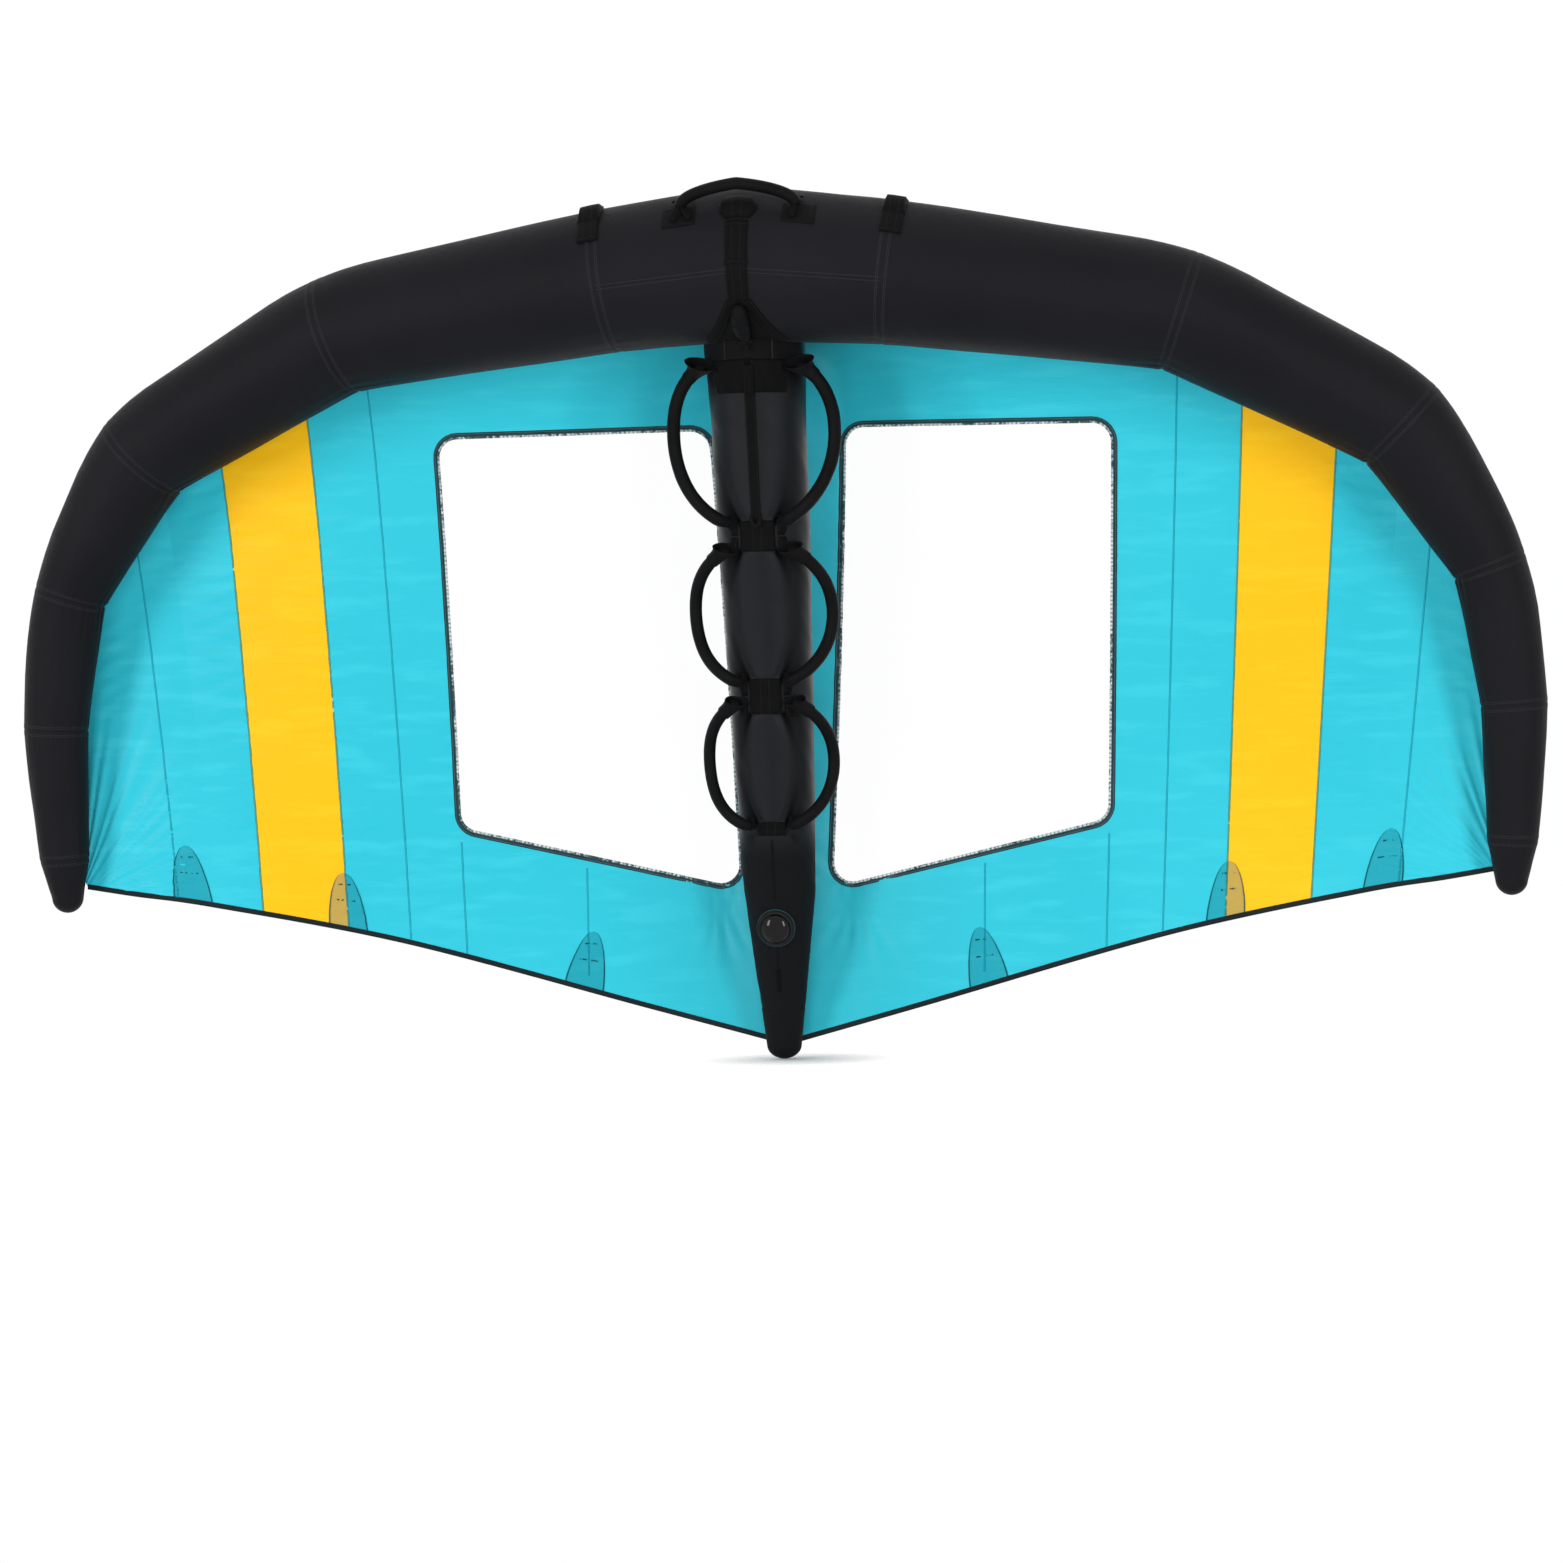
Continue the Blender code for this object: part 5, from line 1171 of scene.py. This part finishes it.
def grip(pair, side, sign):
    path, foot, share = handle_path(pair)
    out = path - foot
    body, node = f"grip_{side}_{pair + 1}", f"handle_{side}_{pair + 1}"
    full = GRIP_RADIUS - 0.0006 * pair
    end = smooth_step(np.minimum(share / 0.035, (1 - share) / 0.05))
    wide = 0.0105 + (full - 0.0105) * end
    thick = 0.0062 + (full - 0.0062) * end
    mirror = np.array([sign, 1, 1])

    def folds(along, angle):
        near = np.minimum(along, along[-1] - along)
        return 1 + 0.035 * np.sin(angle * 7 + along[:, None] * 30) * np.exp(-near / 0.03)[:, None] \
            + 0.012 * ripple(along * 60, pair)[:, None] * np.sin(angle * 2 + pair)

    made = sweep(f"grip_tube_{side}_{pair + 1}", path * mirror, wide, thick, out * mirror,
                 grip_cloth, body=None, replaces=node, slot="grip_foam", twist=folds)
    foot_line = (path[0] + path[-1]) / 2 * mirror
    away = (path[len(path) // 2] * mirror) - foot_line
    chord = path[-1] - path[0]
    away -= (away.dot(chord * mirror) / (chord ** 2).sum()) * chord * mirror
    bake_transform(made)
    made = cuff(pair, side, mirror, path)
    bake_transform(made)


def cuff(pair, side, mirror, path):
    """The open funnel of cloth that the grip comes out of, its mouth turned up and forward."""
    start = path[9]
    down = path[15] - path[6]
    down /= np.linalg.norm(down)
    across = np.array([1.0, -0.15, 0.10])
    across -= down * across.dot(down)
    across /= np.linalg.norm(across)
    depth = np.cross(across, down)
    mouth_across = np.array([0.97, -0.12, 0.16])
    mouth_depth = np.array([0.10, 0.62, 0.78])
    long, half, deep, aside, forward = CUFFS[pair]
    middle = path[2] + np.array([aside, forward, 0.006])
    angle = np.linspace(0, 2 * math.pi, 49)
    rings, uvs = [], []
    for height, spread_out, wall in CUFF_RINGS:
        centre = start + (middle - start) * max(height, 0) + down * 0.012 * max(-height, 0) * 4
        wide = across * (1 - spread_out) + mouth_across * spread_out
        tall = depth * (1 - spread_out) + mouth_depth * spread_out
        a, c = (CUFF_NECK + (reach - CUFF_NECK) * spread_out + wall for reach in (half, deep))
        wave = 1 + 0.035 * spread_out * np.sin(angle * 3 + pair * 2) \
            + 0.02 * np.sin(angle * 9) * (1 - spread_out)
        ring = centre + wide * (a * np.cos(angle) * wave)[:, None] \
            + tall * (c * np.sin(angle) * wave)[:, None]
        rings.append(ring * mirror)
        uvs.append(np.stack([angle * a, np.full_like(angle, long * height)], -1))
    made = add_grid(f"cuff_{side}_{pair + 1}", rings, grip_cloth, uvs, None)
    made.data.materials.append(dark_inside)
    for polygon in made.data.polygons[CUFF_LINED_FROM * (len(angle) - 1):]:
        polygon.material_index = 1
    weld(made)
    return made


for pair in range(3):
    for side, sign in SIDES:
        grip(pair, side, sign)

# Bands round the strut, where the grips are sewn down
for number, (low, high) in enumerate(BANDS):
    by_turn = (float(strut_at((low + high) / 2)[1]) * math.pi / 180, 1.0)
    surface_patch(f"band_{number + 1}", on_strut, (-22.5, 22.5), (low, high), webbing, 0.0024,
                  (40, 24), 0.05, f"strut_band_{number + 1}", by_turn,
                  shape=lambda u, v: 0.0012 * np.sin(v * 9) * (0.4 + u * 0.3))
    middle = low + (high - low) * 0.5
    for side, sign in SIDES:
        for part, heights, slope in (("low", (low - 0.006, middle - 0.001), -5),
                                     ("high", (middle + 0.001, high + 0.012), 6)):
            if number == 2 and part == "low":
                continue
            surface_patch(f"band_tab_{side}_{number + 1}_{part}", on_strut,
                          (lambda v, s=sign, k=slope: s * (26.5 + k * 0.2 * (v - 0.5)),
                           lambda v, s=sign, k=slope: s * (41 + k * (v - 0.5) * 2)),
                          heights, webbing, 0.0030, (18, 14), 0.12, scale=by_turn,
                          cushion=0.0035)

# Patches down the strut's middle: seams, pull tab, the collar with its slits, and the centre strap
for name, turns, heights, look, lift, counts, round_share, more in (
    ("strut_seam_high", (-1.6, 1.6), (0.340, 0.470), patch_webbing, 0.0009, (8, 40), 0.05, {}),
    ("strut_seam_low", (-1.8, 1.8), (0.196, 0.238), patch_webbing, 0.0009, (8, 16), 0.05, {}),
    ("strut_seam_bar", (-6.5, 6.5), (0.191, 0.194), webbing, 0.0010, (12, 6), 0.2, {}),
    ("strut_pull_tab", (-3.4, 3.4), (0.146, 0.190), webbing, 0.0030, (12, 18), 0.10,
     {"cushion": 0.0010}),
    ("collar_upper", (-78, 78), (1.468, 1.514), patch_webbing, 0.0024, (90, 16), 0.03,
     {"shape": lambda u, v: -0.0050 * (bell((np.abs(u - 0.5) - 0.186) * 156, 0.9)) * (v > 0.08)}),
    ("collar_lower", (lambda v: -(46 + 6 * v), lambda v: 46 + 6 * v), (1.402, 1.471), webbing,
     0.0034, (60, 16), 0.03, {"replaces": "strut_collar",
                              "shape": lambda u, v: 0.0008 * np.sin(u * 40 + v * 5)}),
    ("centre_strap", (-6.1, 6.1), (1.139, 1.410), webbing, 0.0026, (10, 70), 0.02,
     {"replaces": "strut_strap", "shape": lambda u, v: 0.0006 * np.sin(v * 31)}),
    ("strap_tab", (-5.4, 5.4), (1.396, 1.462), webbing, 0.0066, (10, 24), 0.06,
     {"cushion": 0.0022}),
    ("strap_mouth", (-5.0, 5.0), (1.459, 1.474), dark_inside, 0.0040, (10, 8), 0.2, {}),
):
    surface_patch(name, on_strut, turns, heights, look, lift, counts, round_share, **more)
loop_path = [strut_points(*how) for how in (
    (1.150, -5.2, 0.004), (1.138, -5.0, 0.0085), (1.129, -3.0, 0.0105), (1.127, 0.0, 0.011),
    (1.129, 3.0, 0.0105), (1.138, 5.0, 0.0085), (1.150, 5.2, 0.004))]
sweep("strap_loop", blend_path(loop_path, 40), 0.0042, 0.0016, (0, -1, 0), patch_webbing, sides=14,
      slot="webbing")

# Webbing on the nose
surface_patch("nose_strap_cover", on_nose,
              (lambda v: -0.0225 + 0.002 * v, lambda v: 0.0225 - 0.002 * v), (29.5, -37.0),
              webbing, 0.0024, (16, 60), 0.03, "nose_strap", (1.0, -0.0028),
              shape=lambda u, v: 0.0006 * np.sin(v * 23))
for name, turn in (("high", 25.5), ("low", -3.0)):
    surface_patch(f"nose_strap_bar_{name}", on_nose, (-0.0235, 0.0235), (turn + 1.5, turn - 1.5),
                  patch_webbing, 0.0042, (16, 8), 0.15)
surface_patch("nose_loop_cover", on_nose, (lambda v: -(0.024 + 0.014 * np.sin(np.pi * v)),
                                           lambda v: 0.024 + 0.014 * np.sin(np.pi * v)), (53.0, 31.0),
              webbing, 0.0026, (26, 26), 0.05, "nose_leash_loop",
              shape=lambda u, v: 0.0125 * np.sin(np.pi * v) ** 0.7)
for side, sign in SIDES:
    surface_patch(f"handle_patch_{side}", on_nose, sorted((sign * 0.086, sign * 0.151)), (50.5, 30.5),
                  patch_webbing, 0.0018, (26, 20), 0.04, f"front_handle_patch_{side}")
    x = sign * 0.300
    surface_patch(f"loop_strap_{side}", on_nose, (x - 0.021, x + 0.021), (56.0, 28.5), webbing,
                  0.0040, (16, 34), 0.04)
    surface_patch(f"loop_stitch_{side}", on_nose, (x - 0.021, x + 0.021), (31.5, 29.2), patch_webbing,
                  0.0052, (16, 8), 0.2)
    surface_patch(f"loop_top_{side}", on_nose, (x - 0.0225, x + 0.0225), (76.0, 49.0), webbing,
                  0.0042, (16, 26), 0.05, f"le_strap_loop_{side}",
                  shape=lambda u, v: 0.0125 * np.sin(np.pi * v) ** 0.8)

# Front handle with its ties
HANDLE_HALF, HANDLE_REST = 0.112, 0.0100
share = np.linspace(0, 1, 110)
swing = np.sin(np.pi * share)
across = -HANDLE_HALF * np.cos(np.pi * share)
path = nose_points(across, 45 + 2 * swing, HANDLE_REST + (0.048 - HANDLE_REST) * swing ** 0.75)
foot = nose_points(across, 45 + 2 * swing, 0.0)
end = smooth_step(np.minimum(share, 1 - share) / 0.05)
front_grip = sweep("front_grip_tube", path, 0.0125 * end + 0.0105 * (1 - end),
                   0.0125 * end + 0.006 * (1 - end), path - foot, grip_cloth, body="front_grip",
                   replaces="front_handle", slot="grip_foam")
for side, sign in SIDES:
    where = [sign * (HANDLE_HALF - d) for d in (-0.018, -0.006, 0.006, 0.018)]
    for number, (a, b) in enumerate(((0, 3), (3, 0)) if side == "left" else ((1, 2),)):
        lifts = 0.0045 + 0.0165 * np.sin(np.linspace(0, np.pi, 24)) ** 0.7 + 0.0015 * number
        line = nose_points(np.linspace(where[a], where[b], 24), np.linspace(58, 34, 24), lifts)
        sweep(f"front_tie_{side}_{number + 1}", line, 0.0065, 0.0012, (0, -1, 0.9), webbing,
              sides=12, slot="webbing")

# Gussets, hose cover and knot under the nose
surface_patch("gusset_cloth", on_nose, (lambda v: -0.012 - 0.066 * v, lambda v: 0.012 + 0.075 * v),
              (-34.0, -76.0), patch_webbing, 0.0014, (40, 30), 0.03, slot="tube_cloth",
              shape=lambda u, v: 0.0012 * np.sin(u * 17 + v * 3) * v)
for side, sign, far in (("left", -1, 0.074), ("right", 1, 0.082)):
    surface_patch(f"gusset_{side}", on_nose, (lambda v, s=sign, f=far: s * (0.004 + (f - 0.018) * v),
                                              lambda v, s=sign, f=far: s * (0.026 + (f - 0.010) * v)),
                  (-31.0, -76.5), webbing, 0.0030, (12, 34), 0.06)
KNOT_AT = 47
hose = blend_path([nose_points(0.0, -35.0, 0.009), nose_points(0.0, -42.0, 0.020),
                   nose_points(0.0, -50.0, 0.022), nose_points(0.001, -60.0, 0.016),
                   strut_points(1.505, 0.0, 0.012), strut_points(1.488, 0.0, 0.009)], 60)
size = np.interp(np.linspace(0, 1, 60), (0, 0.08, 0.3, 0.55, 0.72, 0.8, 1.0),
                 (0.009, 0.0155, 0.0175, 0.0160, 0.0100, 0.0085, 0.0070))
sweep("hose_cover", hose, size, size * 0.85, (0, -1, 0), grip_cloth, sides=24, slot="hose_rubber",
      replaces="one_pump_hose",
      twist=lambda along, angle: 1 + 0.02 * np.sin(along[:, None] * 330) * np.ones_like(angle))
turns = np.linspace(0, 4 * math.pi, 70)
middle = hose[KNOT_AT]
knot = np.stack([middle[0] + 0.0105 * np.cos(turns), middle[1] - 0.001 + 0.0105 * np.sin(turns),
                 middle[2] + 0.004 * np.sin(turns / 2) + 0.002 * np.cos(turns * 1.5)], -1)
sweep("hose_knot", knot, 0.0042, 0.0042, (0, 0, 1), grip_cloth, sides=12, slot="webbing")

# Trailing tape and the reinforcement patches above it
for side, sign in SIDES:
    places = np.linspace(0.075, 5.99, 260)
    edge = canopy_points(places, np.ones_like(places))
    up_run = unit_rows(canopy_points(places, np.full_like(places, 0.985)) - edge)
    sweep(f"trailing_tape_cloth_{side}", (edge + up_run * 0.0036) * np.array([sign, 1, 1]), 0.0056,
          0.0017, (0.0, -1.0, 0.0), trailing_tape, sides=16, replaces=f"trailing_tape_{side}",
          slot="binding_tape")


def place_at(x, count):
    """The station of a distance from the centre, along the trailing edge."""
    places = np.linspace(0, TIP_END, count)
    return np.interp(np.abs(x), HALF_SPAN * spline(0, places), places)


def trailing_patch(name, x, lean, half, length, look, node, base=0.006):
    """A reinforcement patch that stands on the trailing edge, narrowing to a round top."""
    u, v = grid_of(np.linspace(-1, 1, 25), np.linspace(0, 1, 29))
    foot = float(canopy_points(np.array(place_at(x, 121)), np.array(1.0))[2])
    px = x + lean * v + u * half * np.sqrt(np.maximum(1 - v ** 1.6, 0.0004))
    places = place_at(px, 241)
    edge_z = canopy_points(places, np.ones_like(places))[..., 2]
    pz = edge_z * (1 - v) + (foot + length) * v + base * (1 - v)
    add_grid(name, on_canopy(px, pz, -0.0016), look, np.stack([u * half, v * length], -1),
             replaces=node)


for side, sign in SIDES:
    for number, (x, lean) in enumerate(((1.277, 0.020), (0.945, 0.010), (0.438, -0.020))):
        trailing_patch(f"tape_patch_{side}_{number + 1}", sign * x, sign * lean, 0.042, 0.125,
                       patch_film, f"trailing_patch_{side}_{number + 1}")

# Valve cap with its finger tab
VALVE, VALVE_AXIS = np.array([0.0, 0.09431, 0.28207]), np.array([0.0, -0.97729, -0.21193])
VALVE_X = np.array([1.0, 0.0, 0.0])
VALVE_UP = np.cross(VALVE_AXIS, VALVE_X)
CAP_RADIUS, CAP_BULGE = 0.0318, 0.0165


def lathe(name, profile, look, body=WING, replaces="", sides=72):
    """A turned piece of the valve, from radii and heights."""
    angle = np.linspace(0, 2 * math.pi, sides, endpoint=False)
    spoke = np.cos(angle)[:, None] * VALVE_X + np.sin(angle)[:, None] * VALVE_UP
    rings = [VALVE + VALVE_AXIS * height + radius * spoke for radius, height in profile]
    weld(add_grid(name, rings, look, None, body, replaces, closed=True))


dome = [(CAP_RADIUS * math.sin(a), 0.0075 + CAP_BULGE * math.cos(a))
        for a in np.linspace(0.02, math.pi / 2, 26)]
lathe("valve_cap_dome", dome + [(0.0320, 0.0074), (0.0319, 0.0071), (0.0305, 0.0071)], gloss_black,
      "cap", "valve_cap")
lathe("valve_outline", [(0.0396, 0.0014), (0.0400, 0.0030), (0.0407, 0.0030), (0.0411, 0.0012)],
      outline_rubber)
lathe("valve_inner_ring", [(0.0336, 0.0040), (0.0340, 0.0052), (0.0362, 0.0050), (0.0372, 0.0036)],
      satin_black)


def cap_tab():
    """The finger tab at the foot of the cap: a low trapezoid with a raised lip."""
    u, v = grid_of(np.linspace(-1, 1, 25), np.linspace(0, 1, 19))
    rim = smooth_step(np.minimum(np.minimum(1 - np.abs(u), v), 1 - v) / 0.10)
    wide, low = u * (0.0085 + 0.0045 * v), -0.0125 - 0.0165 * v
    reach = np.clip(np.hypot(wide, low) / CAP_RADIUS, 0, 0.999)
    height = 0.0078 + CAP_BULGE * np.sqrt(1 - reach ** 2) + 0.0022 * rim \
        - 0.0014 * smooth_step((rim - 0.5) * 2) * (v > 0.2)
    points = VALVE + VALVE_AXIS * height[..., None] + VALVE_X * wide[..., None] \
        + VALVE_UP * low[..., None]
    add_grid("valve_cap_tab", points, satin_black, body="cap")


cap_tab()

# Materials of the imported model's pieces that still show
CAD_LOOK = {"valve_spring": steel, "valve_plunger": satin_black,
            "valve_base": satin_black, "valve_cap": gloss_black, "valve_tether_ring": satin_black}
for node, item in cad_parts.items():
    item.data.materials.clear()
    item.data.materials.append(CAD_LOOK.get(node, webbing))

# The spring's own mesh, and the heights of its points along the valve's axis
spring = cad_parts["valve_spring"]
heights = [float((np.array(spring.matrix_world @ vertex.co) - VALVE).dot(VALVE_AXIS))
           for vertex in spring.data.vertices]
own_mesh(spring)

# Floor under the tail that keeps the soft contact shadow and fades out round it
FLOOR_X, FLOOR_Y, FLOOR_RADIUS, FLOOR_Z = 0.03, 0.17, 0.5, -0.0008
floor_mesh = bpy.data.meshes.new("floor")
turns = np.linspace(0, 2 * math.pi, 64, endpoint=False)
rim = [(FLOOR_X + FLOOR_RADIUS * math.cos(t), FLOOR_Y + FLOOR_RADIUS * math.sin(t), FLOOR_Z)
       for t in turns]
floor_mesh.from_pydata(rim, [], [tuple(range(len(rim)))])
floor = add_object("floor", floor_mesh)
paper = Build("paper", base_color=(0.93, 0.93, 0.93, 1), emission_color=(1, 1, 1, 1),
              emission_strength=0.05)
spot = paper.add("VectorMath")
spot.operation = "DISTANCE"
paper.put(spot.inputs[0], paper.place())
paper.put(spot.inputs[1], (FLOOR_X, FLOOR_Y, 0.0))
floor.data.materials.append(paper.set(alpha=paper.ramp(spot.outputs["Value"], 0.02, 0.20, 1.0, 0.0),
                                      roughness=paper.ramp(paper.noise(3.0), 0.3, 0.7, 0.85, 0.95)))
